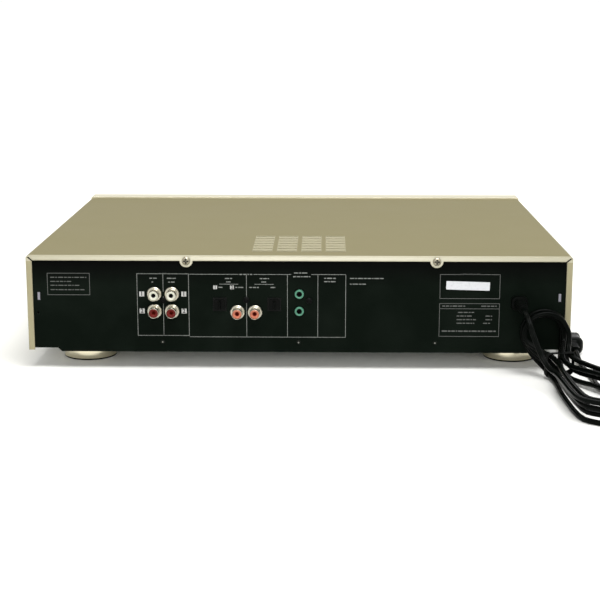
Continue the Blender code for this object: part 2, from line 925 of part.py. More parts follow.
def make_optical_cap(name, x, material):
    """The dust cap in a receptacle: a square flange, the stub in the hole and a grip."""
    seat = panel_face_y + optical_nose_reach + gap
    shape = bmesh.new()
    outline = moved(rounded_rectangle(cap_flange, cap_flange, cap_grip_width / 2), x, optical_z)
    add_prism(shape, outline, "Y", seat, seat + cap_flange_depth)
    cap = place(f"{name}_cap", shape, material, (x, seat, optical_z))
    stub = bmesh.new()
    half = optical_port / 2 - gap
    low = (x - half, seat - gap - cap_plug_length, optical_z - half)
    add_box(stub, low, (x + half, seat + cap_flange_depth / 2, optical_z + half))
    unite(cap, "stub", stub)
    grip = bmesh.new()
    half = cap_grip_width / 2
    tall = cap_grip_height / 2
    end = seat + cap_flange_depth + cap_grip_reach
    low = (x - half, seat + cap_flange_depth / 2, optical_z - tall)
    add_box(grip, low, (x + half, end, optical_z + tall))
    return unite(cap, "grip", grip)


def make_strain_relief(material):
    """Its inner flange and its boss hold the panel between them, and its stem tapers to the lead."""
    steps = [
        (-panel_sheet - gap - relief_inner_length, relief_inner),
        (-panel_sheet - gap, relief_inner),
        (-panel_sheet - gap, relief_neck),
        (gap, relief_neck),
        (gap, relief_boss),
        (gap + relief_boss_length, relief_boss),
        (gap + relief_boss_length * relief_step_share, relief_stem),
        (relief_reach, relief_tip),
    ]
    rings = []
    for along, (width, height) in steps:
        flat = rounded_rectangle(width, height, relief_corner_share * height)
        rings.append([(relief_x + x, panel_face_y + along, relief_z + z) for x, z in flat])
    shape = bmesh.new()
    add_rings(shape, rings)
    return place("strain_relief", shape, material, (relief_x, panel_face_y, relief_z))


def smooth_line(points, steps):
    """A smooth curve through points, as steps pieces between each two of them."""
    known = [np.array(point, float) for point in points]
    known = [2 * known[0] - known[1], *known, 2 * known[-1] - known[-2]]
    line = []
    for a, b, c, d in zip(known, known[1:], known[2:], known[3:]):
        slope = (c - a) / 2
        curve = (2 * a - 5 * b + 4 * c - d) / 2
        twist = (3 * b - a - 3 * c + d) / 2
        for i in range(steps):
            t = i / steps
            line.append(b + slope * t + curve * t**2 + twist * t**3)
    line.append(known[-2])
    return line


def ease(share):
    """Rises from 0 to 1 and is level at both ends."""
    return (1 - math.cos(math.pi * min(max(share, 0), 1))) / 2


def hank_flat(turn):
    """Where the lead is after so many turns, on the hank laid flat: along, across, and height.

    It winds inwards and outwards by turns, and steps down one layer each time it changes.
    """
    middle = hank_climb if turn < hank_climb + 1 else hank_climb + 2
    growth = abs(turn - middle) * strand_step
    height = layer_step * (hank_layers - 1)
    for layer in range(hank_layers - 1):
        height -= layer_step * ease((turn - hank_climb - layer + climb_window) / (2 * climb_window))
    half_loop = loop_points / 2
    side = -1 if (turn % 1) < 0.5 else 1
    step = (turn % 0.5) * loop_points
    if step <= run_points:
        ahead = step if side < 0 else run_points - step
        share = float(np.interp(ahead, range(run_points + 1), run_shares))
        along = share * (upper_run + lower_run) - upper_run
        bulb, run = (lower_bulb, lower_run) if along > 0 else (upper_bulb, upper_run)
        across = side * (hank_waist + (bulb - hank_waist) * ease(abs(along) / run) + growth)
    else:
        swing = (step - run_points) / (half_loop - run_points) * math.pi
        bulb, run = (lower_bulb, lower_run) if side < 0 else (upper_bulb, upper_run)
        radius = bulb + growth
        along = -side * (run + radius * math.sin(swing))
        across = side * radius * math.cos(swing)
    return along, across, height + tie_lift * math.exp(-((along / tie_spread) ** 2))


def hank_world(along, across, height):
    """Lays a point of the flat hank down the rear panel, round a bend and out over the floor."""
    x = hank_tie_x - along * math.sin(hank_tilt) - across * math.cos(hank_tilt)
    down = hank_tie_along + along * math.cos(hank_tilt) - across * math.sin(hank_tilt)
    turn = min(max(down / hank_bend, 0), math.pi / 2)
    before = min(down, 0)
    after = max(down - hank_bend * math.pi / 2, 0)
    radius = hank_bend - height
    y = panel_face_y + lead_rest + hank_bend - radius * math.cos(turn) + after
    z = lead_rest + hank_bend - radius * math.sin(turn) - before
    return np.array((x, y, z))


def hank_line():
    """Centreline of the hank, which ends in a straight diameter at each end."""
    count = round((hank_end - hank_start) * loop_points)
    turns = [hank_start + i / loop_points for i in range(count + 1)]
    line = [hank_world(*hank_flat(turn)) for turn in turns]
    for end, inner in ((0, 1), (-1, -2)):
        outward = line[end] - line[inner]
        tip = line[end] + outward / np.linalg.norm(outward) * lead_width
        line = [tip, *line] if end == 0 else [*line, tip]
    return line


def segment_distance(a, b, c, d):
    """Shortest distance between two straight pieces."""
    u, v, w = b - a, d - c, a - c
    uu, uv, vv, uw, vw = u @ u, u @ v, v @ v, u @ w, v @ w
    spread = uu * vv - uv * uv
    s = min(max((uv * vw - vv * uw) / spread, 0), 1) if spread > 1e-15 else 0
    t = min(max((uv * s + vw) / vv, 0), 1)
    s = min(max((uv * t - uw) / uu, 0), 1)
    return float(np.linalg.norm(w + s * u - t * v))


def least_gap(line, other=None):
    """Least clear distance of a lead to itself, more than half a loop away, or to another lead."""
    least = math.inf
    for i in range(len(line) - 1):
        start = i + loop_points // 2 if other is None else 0
        far = line if other is None else other
        for j in range(start, len(far) - 1):
            least = min(least, segment_distance(line[i], line[i + 1], far[j], far[j + 1]))
    return least - lead_width


def line_length(line):
    return sum(float(np.linalg.norm(b - a)) for a, b in zip(line, line[1:]))


def make_lead(name, line, resolution, material):
    """One round tube along the line."""
    curve = bpy.data.curves.new(name, "CURVE")
    curve.dimensions = "3D"
    curve.bevel_depth = lead_radius
    curve.bevel_resolution = resolution
    curve.use_fill_caps = True
    spline = curve.splines.new("POLY")
    spline.points.add(len(line) - 1)
    for point, place_at in zip(spline.points, line):
        point.co = (*place_at, 1)
    curve.materials.append(material)
    made = bpy.data.objects.new(name, curve)
    bpy.context.scene.collection.objects.link(made)
    return made


def stretch_route(hank):
    """From the strain relief out, down over the hank's upper end and onto its top layer."""
    x, y, z = lead_exit
    tip = hank[0]
    back = (hank[0] - hank[1]) / np.linalg.norm(hank[0] - hank[1])
    start = [(x, y + gap, z), (x, y + gap + lead_width, z)]
    free = [(x + aside, y + out, height) for aside, out, height in stretch_points]
    return start + free + [tuple(tip + back * (gap + lead_width)), tuple(tip + back * gap)]


def tail_route(hank):
    """From the hank's bottom layer back over the floor beside the deck, and up into the plug."""
    tip = hank[-1]
    onward = (hank[-1] - hank[-2]) / np.linalg.norm(hank[-1] - hank[-2])
    start = [tuple(tip + onward * gap), tuple(tip + onward * (gap + lead_width))]
    free = []
    for aside, out, rise in tail_points:
        free.append((plug_x + aside, panel_face_y + out, lead_rest + rise))
    end_y = plug_back_y + plug_sleeve_length + gap
    return start + free + [(plug_x, end_y + lead_width, plug_z), (plug_x, end_y, plug_z)]


def make_tie(material):
    """A thin band round all the strands at the waist."""
    turns = np.arange(hank_start, hank_end, 1 / loop_points**2)
    places = [hank_flat(turn) for turn in turns]
    across = [place_at[1] for place_at in places if abs(place_at[0]) < tie_band]
    left = min(across) - lead_radius - tie_slack
    right = max(across) + lead_radius + tie_slack
    low = tie_lift - lead_radius - tie_slack
    high = tie_lift + layer_step * (hank_layers - 1) + lead_radius + tie_slack
    middle = ((left + right) / 2, (low + high) / 2)
    rings = []
    for along, grow in ((-1, 0), (1, 0), (1, tie_sheet), (-1, tie_sheet)):
        flat = rounded_rectangle(
            right - left + 2 * grow, high - low + 2 * grow, tie_corner + grow
        )
        ring = []
        for a, b in moved(flat, *middle):
            ring.append(tuple(hank_world(along * tie_band / 2, a, b)))
        rings.append(ring)
    shape = bmesh.new()
    add_rings(shape, rings, closed=True)
    return place("lead_tie", shape, material)


def make_plug(material, metal):
    """A flat two-blade plug on its side. The lead's sleeve points towards +Y."""
    end = plug_back_y - plug_body_length
    sleeve = 2 * plug_sleeve_radius
    steps = [
        (plug_back_y + plug_sleeve_length, sleeve * sleeve_tip_share, sleeve * sleeve_tip_share),
        (plug_back_y, sleeve, sleeve),
        (plug_back_y - plug_round / 2, plug_width - plug_round, plug_height - plug_round),
        (plug_back_y - plug_round, plug_width, plug_height),
        (end + plug_round, plug_width, plug_height),
        (end, plug_width - plug_round / 2, plug_height - plug_round / 2),
    ]
    rings = []
    for y, width, height in steps:
        flat = rounded_rectangle(width, height, plug_corner_share * min(width, height))
        rings.append([(plug_x + x, y, plug_z + z) for x, z in flat])
    shape = bmesh.new()
    add_rings(shape, rings)
    body = place("plug_body", shape, material, (plug_x, plug_back_y, plug_z))
    slots = bmesh.new()
    for side, number in ((-1, 1), (1, 2)):
        x = plug_x + side * blade_spacing / 2
        half = blade_sheet / 2
        low = (x - half - gap, end - overrun, plug_z - blade_width / 2 - gap)
        add_box(slots, low, (x + half + gap, end + blade_width, plug_z + blade_width / 2 + gap))
        blade = bmesh.new()
        low = (x - half, end - blade_length, plug_z - blade_width / 2)
        add_box(blade, low, (x + half, end + blade_width - gap, plug_z + blade_width / 2))
        place(f"plug_blade_{number}", blade, metal, (x, end, plug_z))
    return cut(body, "slots", slots)


def make_mains_lead(jacket, band, metal):
    hank = hank_line()
    stretch = smooth_line(stretch_route(hank), free_steps)
    tail = smooth_line(tail_route(hank), free_steps)
    make_lead("lead_hank", hank, hank_bevel_steps, jacket)
    make_lead("lead_stretch", stretch, free_bevel_steps, jacket)
    make_lead("lead_tail", tail, free_bevel_steps, jacket)
    make_tie(band)
    make_plug(jacket, metal)
    lengths = [line_length(line) for line in (stretch, hank, tail)]
    print("Lead, stretch + hank + tail:", " + ".join(f"{1000 * part:.0f}" for part in lengths), "mm")
    print(f"Least gap of the hank to itself: {1000 * least_gap(hank):.2f} mm")
    print(f"Least gap of the stretch to the hank: {1000 * least_gap(stretch[:-6], hank[6:]):.2f} mm")
    print(f"Least gap of the tail to the hank: {1000 * least_gap(tail[6:], hank[:-6]):.2f} mm")


def key_spots():
    """Middle, width and height of each key: one beside each end of the slot, and a row below."""
    eject_x = slot_side + eject_share * side_room
    spots = {
        "power_button": (power_from_side - half_width, slot_z - power_drop, *power_size),
        "eject_button": (eject_x, slot_z - eject_drop, *eject_size),
    }
    left = window_width / 2 + row_from_window
    gaps = row_key_gap * (len(row_parts) - 1)
    part = (half_width - row_from_side - left - gaps) / sum(row_parts.values())
    for name, parts in row_parts.items():
        width = parts * part
        spots[name] = (left + width / 2, low_row_z, width, row_key_height)
        left += width + row_key_gap
    return spots


def post_places():
    """Bosses that hold the front board, each in a bare part of it."""
    timer_end = timer_place[0] + timer_slot_width / 2 + timer_travel + overrun
    window_end = -(window_width / 2 + window_flange)
    middle_x = timer_end + middle_post_share * (window_end - timer_end)
    inner_x = slot_side + inner_post_share * side_room
    return (
        (-(board_notch_x + upper_post_out), board_high - upper_post_drop),
        (half_width - side_post_in, low_row_z + side_post_rise),
        (middle_x, low_row_z - middle_post_dip),
        (half_width - corner_post_in, low_row_z - corner_post_dip),
        (inner_x, board_high - inner_post_drop),
    )


def make_front_panel(material):
    """A moulded shell, open at the back, with bosses for the board."""
    middle_z = (front_bottom + front_top) / 2
    height = front_top - front_bottom
    rings = []
    for y, less in ((front_face_y, front_bevel), (front_face_y + front_bevel, 0), (front_back_y, 0)):
        flat = rounded_rectangle(deck_width - 2 * less, height - 2 * less, front_corner)
        rings.append([(x, y, middle_z + z) for x, z in flat])
    shape = bmesh.new()
    add_rings(shape, rings)
    panel = place("front_panel", shape, material)

    pocket = bmesh.new()
    low = (-half_width + front_wall, front_inner_y, front_bottom + front_wall)
    add_box(pocket, low, (half_width - front_wall, front_back_y + overrun, front_top - front_wall))
    cut(panel, "pocket", pocket)

    posts = bmesh.new()
    for x, z in post_places():
        centre = (x, front_inner_y, z)
        reach = board_front_y - gap - front_inner_y
        add_rod(posts, post_radius, centre, "Y", -gap, reach, screw_sides)
    unite(panel, "posts", posts)

    holes = bmesh.new()
    before = front_face_y - overrun
    behind = front_inner_y + overrun

    def square_hole(x, z, width, height):
        low = (x - width / 2, before, z - height / 2)
        add_box(holes, low, (x + width / 2, behind, z + height / 2))

    def round_hole(x, z, radius, sides):
        add_rod(holes, radius, (x, before, z), "Y", 0, behind - before, sides)

    square_hole(0, slot_z, slot_width, slot_height)
    square_hole(0, window_z, window_width, window_height)
    for x, z, width, height in key_spots().values():
        hole = rounded_rectangle(width + 2 * gap, height + 2 * gap, key_corner + gap)
        add_prism(holes, moved(hole, x, z), "Y", before, behind)
    for x, z in (dial_place, level_place, phones_level_place):
        round_hole(x, z, shaft_radius + gap, jack_sides)
    round_hole(*phones_place, phones_barrel + gap, phones_sides)
    square_hole(*timer_place, timer_slot_width, timer_slot_height)
    cut(panel, "holes", holes)

    pins = bmesh.new()
    centre = (0, front_face_y + flap_depth, flap_axis_z())
    reach = slot_width / 2 + flap_pin_length + gap
    add_rod(pins, flap_pin_radius + gap, centre, "X", -reach, reach, flap_pin_sides)
    return cut(panel, "hinge_holes", pins)


def flap_axis_z():
    return slot_z + slot_height / 2 - flap_pin_radius - gap


def make_flap(material):
    """The slot's door: a plate hung on two pins at its top edge."""
    y = front_face_y + flap_depth
    axis_z = flap_axis_z()
    half = flap_sheet / 2
    low = slot_z - slot_height / 2 + gap
    reach = slot_width / 2 - gap
    shape = bmesh.new()
    add_box(shape, (-reach, y - half, low), (reach, y + half, axis_z))
    flap = place("slot_flap", shape, material, (0, y, axis_z))
    pins = bmesh.new()
    ends = slot_width / 2 + flap_pin_length
    add_rod(pins, flap_pin_radius, (0, y, axis_z), "X", -ends, ends, flap_pin_sides)
    return unite(flap, "pins", pins)


def make_window(material):
    """A clear pane that fills its opening, held by a thin flange behind the face."""
    shape = bmesh.new()
    back = front_inner_y + gap
    wide = window_width / 2 + window_flange
    tall = window_height / 2 + window_flange
    add_box(shape, (-wide, back, window_z - tall), (wide, back + window_flange_sheet, window_z + tall))
    pane = place("display_window", shape, material)
    body = bmesh.new()
    wide = window_width / 2 - gap
    tall = window_height / 2 - gap
    low = (-wide, front_face_y + window_recess, window_z - tall)
    add_box(body, low, (wide, back + window_flange_sheet / 2, window_z + tall))
    return unite(pane, "body", body)


def make_keys(material):
    face = front_face_y - key_stand
    seat = front_inner_y + gap
    for name, (x, z, width, height) in key_spots().items():
        flat = rounded_rectangle(width, height, key_corner)
        soft = rounded_rectangle(width - key_corner, height - key_corner, key_corner / 2)
        wide = rounded_rectangle(width + 2 * key_flange, height + 2 * key_flange, key_corner)
        levels = [(face, soft), (face + key_corner / 2, flat), (seat, flat)]
        levels += [(seat, wide), (seat + key_flange_sheet, wide)]
        shape = bmesh.new()
        add_rings(shape, [[(a, y, b) for a, b in moved(outline, x, z)] for y, outline in levels])
        place(name, shape, material, (x, face, z))


def knob_shape(name, spot, radius, reach, sides, material):
    """A turned knob, its shaft running back to the board."""
    x, z = spot
    face = front_face_y
    profile = [
        (0, -reach),
        (radius - knob_bevel, -reach),
        (radius, -reach + knob_bevel),
        (radius, -knob_standoff),
        (shaft_radius, -knob_standoff),
        (shaft_radius, board_front_y - face - encoder_size / 2 - gap),
        (0, board_front_y - face - encoder_size / 2 - gap),
    ]
    shape = bmesh.new()
    add_turned(shape, profile, (x, face, z), "Y", sides)
    return place(name, shape, material, (x, face, z))


def make_turned_controls(material, dark):
    dial = knob_shape("jog_dial", dial_place, dial_radius, dial_reach, dial_sides, material)
    hollow = bmesh.new()
    x, z = dial_place
    centre = (x, front_face_y - dial_reach, z + dial_dimple_orbit)
    profile = [(0, -overrun), (dial_dimple, -overrun), (dial_dimple, 0)]
    for out, down in dial_dimple_curve:
        profile.append((dial_dimple * out, dial_dimple_depth * down))
    profile.append((0, dial_dimple_depth))
    add_turned(hollow, profile, centre, "Y", jack_sides)
    cut(dial, "finger_dimple", hollow)
    knobs = (
        ("record_level_knob", level_place, level_radius, level_reach, material),
        ("phones_level_knob", phones_level_place, phones_level_radius, phones_level_reach, dark),
    )
    for name, spot, radius, reach, chosen in knobs:
        knob = knob_shape(name, spot, radius, reach, level_sides, chosen)
        groove = bmesh.new()
        x, z = spot
        tip = front_face_y - reach
        low = (x - pointer_width / 2, tip - overrun, z + radius * pointer_start_share)
        add_box(groove, low, (x + pointer_width / 2, tip + pointer_depth, z + radius + overrun))
        cut(knob, "pointer", groove)


def make_phones_socket(material):
    """Ring, barrel through the face, and the long body with its bore."""
    x, z = phones_place
    deep = phones_body_depth
    body = phones_body / 2
    seat = front_face + gap
    profile = [
        (0, deep),
        (body, deep),
        (body, seat),
        (phones_barrel, seat),
        (phones_barrel, -gap),
        (phones_ring, -gap),
        (phones_ring, -phones_ring_reach),
        (phones_bore, -phones_ring_reach),
        (phones_bore, deep - body / 2),
        (0, deep - body / 2),
    ]
    shape = bmesh.new()
    add_turned(shape, profile, (x, front_face_y, z), "Y", phones_sides)
    return place("phones_socket", shape, material, (x, front_face_y, z))


def make_timer_switch(material):
    """A small slide with a plate behind the slot."""
    x, z = timer_place
    half = timer_knob_width / 2
    seat = front_inner_y + gap
    tall = timer_slot_height / 2
    shape = bmesh.new()
    wide = timer_slot_width / 2 + timer_travel + overrun
    add_box(shape, (x - wide, seat, z - tall * 2), (x + wide, seat + key_flange_sheet, z + tall * 2))
    switch = place("timer_switch", shape, material, (x, front_face_y, z))
    knob = bmesh.new()
    low = (x - half, front_face_y - key_stand, z - tall + gap)
    add_box(knob, low, (x + half, seat + key_flange_sheet / 2, z + tall - gap))
    return unite(switch, "knob", knob)


def make_front_board(material):
    """A U-shaped board round the slot, with the display and a switch behind each control."""
    outline = [
        (board_corner_x, board_low),
        (board_right, board_low),
        (board_right, board_high),
        (board_notch_x, board_high),
        (board_notch_x, board_notch_z),
        (-board_notch_x, board_notch_z),
        (-board_notch_x, board_high),
        (board_left, board_high),
        (board_left, board_corner_z),
        (board_corner_x, board_corner_z),
    ]
    shape = bmesh.new()
    add_prism(shape, outline, "Y", board_front_y, board_back_y)
    board = place("front_board", shape, material)
    parts = bmesh.new()
    deep = board_back_y - board_sheet / 2
    window_back = front_inner_y + gap + window_flange_sheet
    low = (-display_width / 2, window_back + gap, window_z - display_height / 2)
    add_box(parts, low, (display_width / 2, deep, window_z + display_height / 2))
    half = switch_size / 2
    for name, (x, z, _, _) in key_spots().items():
        travel = power_travel if name == "power_button" else key_travel
        front = front_inner_y + gap + key_flange_sheet + travel + gap
        add_box(parts, (x - half, front, z - half), (x + half, deep, z + half))
    half = encoder_size / 2
    for x, z in (dial_place, level_place, phones_level_place):
        add_box(parts, (x - half, board_front_y - half, z - half), (x + half, deep, z + half))
    x, z = timer_place
    seat = front_inner_y + 2 * gap + key_flange_sheet
    add_box(parts, (x - half, seat, z - switch_size / 2), (x + half, deep, z + switch_size / 2))
    return unite(board, "parts", parts)


def make_main_board(material):
    rear = panel_back_y - main_rear_gap
    front = rear - main_depth
    shape = bmesh.new()
    add_box(shape, (main_left, front, main_low), (main_right, rear, main_top))
    board = place("main_board", shape, material)
    parts = bmesh.new()
    inside = main_low + board_sheet / 2
    columns = (main_left + standoff_inset, (main_left + main_right) / 2, main_right - standoff_inset)
    for x in columns:
        for y in (front + standoff_inset, rear - housing_depth - standoff_inset * 2):
            centre = (x, y, pan_top + gap)
            reach = inside - pan_top - gap
            add_rod(parts, standoff_radius, centre, "Z", 0, reach, screw_sides)
    for i in range(2):
        y = rear - core_from_rear - i * capacitor_step
        x = main_left + standoff_inset + capacitor_radius
        add_rod(parts, capacitor_radius, (x, y, inside), "Z", 0, capacitor_height, jack_sides)
    wide, deep, tall = heat_sink
    y = rear - heat_sink_from_rear
    add_box(parts, (-wide / 2, y - deep, inside), (wide / 2, y, main_top + tall))
    for i in range(3):
        x = chip_step * (i + chip_first_share)
        y = rear - core_from_rear - deep - chip_step * (1 + i % 2) / 2
        low = (x, y - chip_size, inside)
        add_box(parts, low, (x + chip_size, y, main_top + chip_height))
    unite(board, "parts", parts)
    fins = bmesh.new()
    pitch = wide / heat_sink_fins
    y = rear - heat_sink_from_rear
    for i in range(heat_sink_fins):
        x = -wide / 2 + (i + 0.5) * pitch
        low = (x - pitch / 2 + heat_sink_fin, y - deep + heat_sink_fin * 2, main_top + heat_sink_fin)
        high = (x + pitch / 2 - heat_sink_fin, y + overrun, main_top + tall + overrun)
        add_box(fins, low, high)
    return cut(board, "fins", fins)


def make_transformer(material):
    """A laminated core round a coil, on two feet."""
    wide, deep, tall = core_size
    x = -half_width + wall_inset + core_inset + wide / 2
    y = panel_back_y - core_from_rear
    floor = pan_top + gap
    shape = bmesh.new()
    add_box(shape, (x - wide / 2, y - deep / 2, floor), (x + wide / 2, y + deep / 2, floor + tall))
    core = place("power_transformer", shape, material)
    coil = bmesh.new()
    half = wide / 2 - coil_margin
    outline = moved(rounded_rectangle(2 * half, deep + 2 * coil_bulge, coil_bulge), x, y)
    add_prism(coil, outline, "Z", floor + coil_margin, floor + tall - coil_margin)
    unite(core, "coil", coil)
    feet = bmesh.new()
    for side in (-1, 1):
        reach = sorted((side * (wide / 2 - core_foot_sheet), side * (wide / 2 + core_foot)))
        low = (x + reach[0], y - deep / 2 + core_foot_sheet, floor)
        high = (x + reach[1], y + deep / 2 - core_foot_sheet, floor + core_foot_sheet)
        add_box(feet, low, high)
    return unite(core, "feet", feet)


def carrier_pin_places():
    return (carrier_front_y + carrier_pin_inset * 2, carrier_back_y - carrier_pin_inset)


def make_carrier(material):
    """Holds the cartridge: a flat sleeve open at the front, with a window under the disc."""
    shape = bmesh.new()
    low = (-carrier_side, carrier_front_y, carrier_low)
    add_box(shape, low, (carrier_side, carrier_back_y, carrier_high))
    carrier = place("cartridge_carrier", shape, material, (0, spindle_y, slot_z))
    room = bmesh.new()
    inner = carrier_side - carrier_wall
    low = (-inner, carrier_front_y - overrun, carrier_low + carrier_wall)
    add_box(room, low, (inner, carrier_back_y - carrier_wall, carrier_high - carrier_wall))
    cut(carrier, "room", room)
    window = bmesh.new()
    low = (-carrier_window_left, spindle_y - carrier_window / 2, carrier_low - overrun)
    high = (carrier_window_right, spindle_y + carrier_window / 2, carrier_low + carrier_wall + gap)
    add_box(window, low, high)
    cut(carrier, "window", window)
    pins = bmesh.new()
    for side in (-1, 1):
        for y in carrier_pin_places():
            centre = (side * carrier_side, y, slot_z)
            reach = sorted((-side * carrier_wall / 2, side * (frame_side_gap + frame_sheet - gap)))
            add_rod(pins, carrier_pin_radius, centre, "X", *reach, carrier_pin_sides)
    return unite(carrier, "pins", pins)


def make_mechanism_frame(material):
    """Two side walls on feet and a plate between them, with the motor and the rails' blocks."""
    foot = frame_outer + frame_foot
    floor = pan_top + gap
    top = carrier_high + frame_rise
    left = [
        (-frame_inner, frame_plate_top),
        (-frame_inner, top),
        (-frame_outer, top),
        (-frame_outer, floor + frame_sheet),
        (-foot, floor + frame_sheet),
        (-foot, floor),
        (-frame_inner, floor),
        (-frame_inner, frame_plate),
    ]
    shape = bmesh.new()
    add_prism(shape, mirrored(left), "Y", frame_front_y, frame_back_y)
    frame = place("mechanism_frame", shape, material)

    holes = bmesh.new()
    half = carrier_pin_radius + gap
    for y in carrier_pin_places():
        for side in (-1, 1):
            reach = sorted((side * (frame_inner - gap), side * (frame_outer + gap)))
            low = (reach[0], y - half, slot_z - carrier_drop - half)
            add_box(holes, low, (reach[1], y + half, top + overrun))
    for side in (-1, 1):
        reach = sorted((side * (frame_inner - gap), side * (frame_outer + gap)))
        low = (reach[0], frame_front_y + frame_window_margin, floor + frame_window_margin)
        high = (reach[1], frame_back_y - frame_window_margin, frame_plate - frame_window_margin / 2)
        add_box(holes, low, high)
    cut(frame, "holes", holes)

    blocks = bmesh.new()
    centre = (0, spindle_y, frame_plate)
    height = frame_sheet + motor_height
    add_rod(blocks, motor_radius, centre, "Z", frame_sheet / 2, height, jack_sides)
    block_top = rail_z + block_rise
    for offset in (-rail_offset, rail_offset):
        y = spindle_y + offset
        ends = ((0, block_width), (frame_inner - block_width, frame_inner + frame_sheet / 2))
        for x_low, x_high in ends:
            low = (x_low, y - block_half, frame_plate + frame_sheet / 2)
            add_box(blocks, low, (x_high, y + block_half, block_top))
    unite(frame, "blocks", blocks)

    bores = bmesh.new()
    add_rod(bores, spindle_radius + running_gap, centre, "Z", -overrun, height + overrun, jack_sides)
    for offset, radius in ((rail_offset, rail_radius), (-rail_offset, screw_radius)):
        centre = (0, spindle_y + offset, rail_z)
        end = frame_outer + overrun
        add_rod(bores, radius + running_gap, centre, "X", -overrun, end, rail_sides)
    return cut(frame, "bores", bores)


def make_spindle(material):
    """Shaft, turntable and the cone that centres the disc's hub."""
    base = frame_plate_top + motor_height + gap
    profile = [
        (0, frame_plate - base + gap),
        (spindle_radius, frame_plate - base + gap),
        (spindle_radius, 0),
        (turntable_radius, 0),
        (turntable_radius, turntable_height),
        (hub_radius, turntable_height),
        (hub_radius * hub_tip_share, turntable_height + hub_height),
        (0, turntable_height + hub_height),
    ]
    shape = bmesh.new()
    centre = (0, spindle_y, base)
    add_turned(shape, profile, centre, "Z", jack_sides)
    return place("disc_spindle", shape, material, centre)


def make_rails(material, dark):
    """The smooth guide rod, and the lead screw with its gear."""
    y = spindle_y + rail_offset
    shape = bmesh.new()
    add_rod(shape, rail_radius, (0, y, rail_z), "X", gap, frame_outer - gap, rail_sides)
    place("guide_rod", shape, material, (0, y, rail_z))
    y = spindle_y - rail_offset
    shape = bmesh.new()
    gear = -gap - screw_gear_sheet
    profile = [(0, gear), (screw_gear_radius, gear), (screw_gear_radius, -gap), (screw_radius, -gap)]
    profile += [(screw_radius, frame_outer - gap), (0, frame_outer - gap)]
    add_turned(shape, profile, (0, y, rail_z), "X", rail_sides)
    place("lead_screw", shape, dark, (0, y, rail_z))


def make_sled(material):
    """The pickup: a block on the rod, an arm to the lead screw and the lens."""
    low_z = frame_plate_top + sled_lift
    left = lens_start - sled_left
    right = lens_start + sled_right
    reach = rail_offset + block_half
    shape = bmesh.new()
    low = (left, spindle_y - sled_half, low_z)
    add_box(shape, low, (right, spindle_y + reach, low_z + sled_height))
    sled = place("pickup_sled", shape, material, (lens_start, spindle_y, rail_z))
    more = bmesh.new()
    low = (lens_start - block_half, spindle_y - reach, low_z)
    add_box(more, low, (lens_start + block_half, spindle_y, low_z + sled_height - gap))
    unite(sled, "arm", more)
    lens = bmesh.new()
    centre = (lens_start, spindle_y, low_z + sled_height)
    add_rod(lens, lens_radius, centre, "Z", -gap, lens_height, jack_sides)
    unite(sled, "lens", lens)
    bores = bmesh.new()
    for offset, radius in ((rail_offset, rail_radius), (-rail_offset, screw_radius)):
        centre = (0, spindle_y + offset, rail_z)
        add_rod(bores, radius + running_gap, centre, "X", left - overrun, right + overrun, rail_sides)
    return cut(sled, "bores", bores)


def main():
    clear_scene()
    champagne = finish("champagne", CHAMPAGNE, 0.35, 0.6)
    black_sheet = finish("black sheet", BLACK_SHEET, 0.45)
    black = finish("black plastic", BLACK_PLASTIC, 0.4)
    steel = finish("bare steel", BARE_STEEL, 0.35, 1.0)
    nickel = finish("nickel", (0.72, 0.68, 0.58), 0.25, 1.0)
    jacket = finish("lead jacket", (0.01, 0.01, 0.01), 0.25)
    green = finish("green plastic", (0.1, 0.28, 0.18), 0.4)
    board = finish("board", (0.05, 0.12, 0.05), 0.6)
    glass = finish("smoked pane", (0.02, 0.02, 0.025), 0.1)

    make_chassis_pan(steel)
    make_rear_panel(black_sheet)
    make_top_cover(champagne)
    make_feet(champagne)
    make_screws(nickel)
    make_phono_sockets(nickel)
    places = jack_places()
    screws = jack_screw_places()
    line = [spot for name, spot in places.items() if name.startswith("line")]
    coaxial = [spot for name, spot in places.items() if name.startswith("coaxial")]
    make_housing("line_jack_housing", line, screws["line_jack_screw"], black)
    make_housing("coaxial_jack_housing", coaxial, screws["coaxial_jack_screw"], black)
    make_control_jacks(screws["control_jack_screw"], green)
    for name, x in (("optical_in", optical_in_x), ("optical_out", optical_out_x)):
        make_optical_port(name, x, black)
        make_optical_cap(name, x, black)
    make_strain_relief(black)
    make_mains_lead(jacket, black, nickel)

    make_front_panel(champagne)
    make_window(glass)
    make_flap(champagne)
    make_keys(champagne)
    make_turned_controls(champagne, champagne)
    make_phones_socket(black)
    make_timer_switch(black)
    make_front_board(board)
    make_main_board(board)
    make_transformer(steel)

    make_mechanism_frame(steel)
    make_carrier(steel)
    make_spindle(nickel)
    make_rails(nickel, black)
    make_sled(black)


main()
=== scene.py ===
# %% [markdown]
# # A minidisc deck, seen from behind
#
# This file dresses the deck that the CAD source describes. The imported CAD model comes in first
# and stays where it is, as a jig. Sheet metal that already has its right shape is kept and only
# gets a finish. Small turned and moulded pieces are made again here with finer curves, and each
# one rides on the body that carries it, so that the keys, caps and knobs still move.
#
# Units are metres. The front of the deck faces -Y and its sockets face +Y.

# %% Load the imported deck
import math

import bmesh
import bpy
import numpy as np
from mathutils import Matrix, Vector


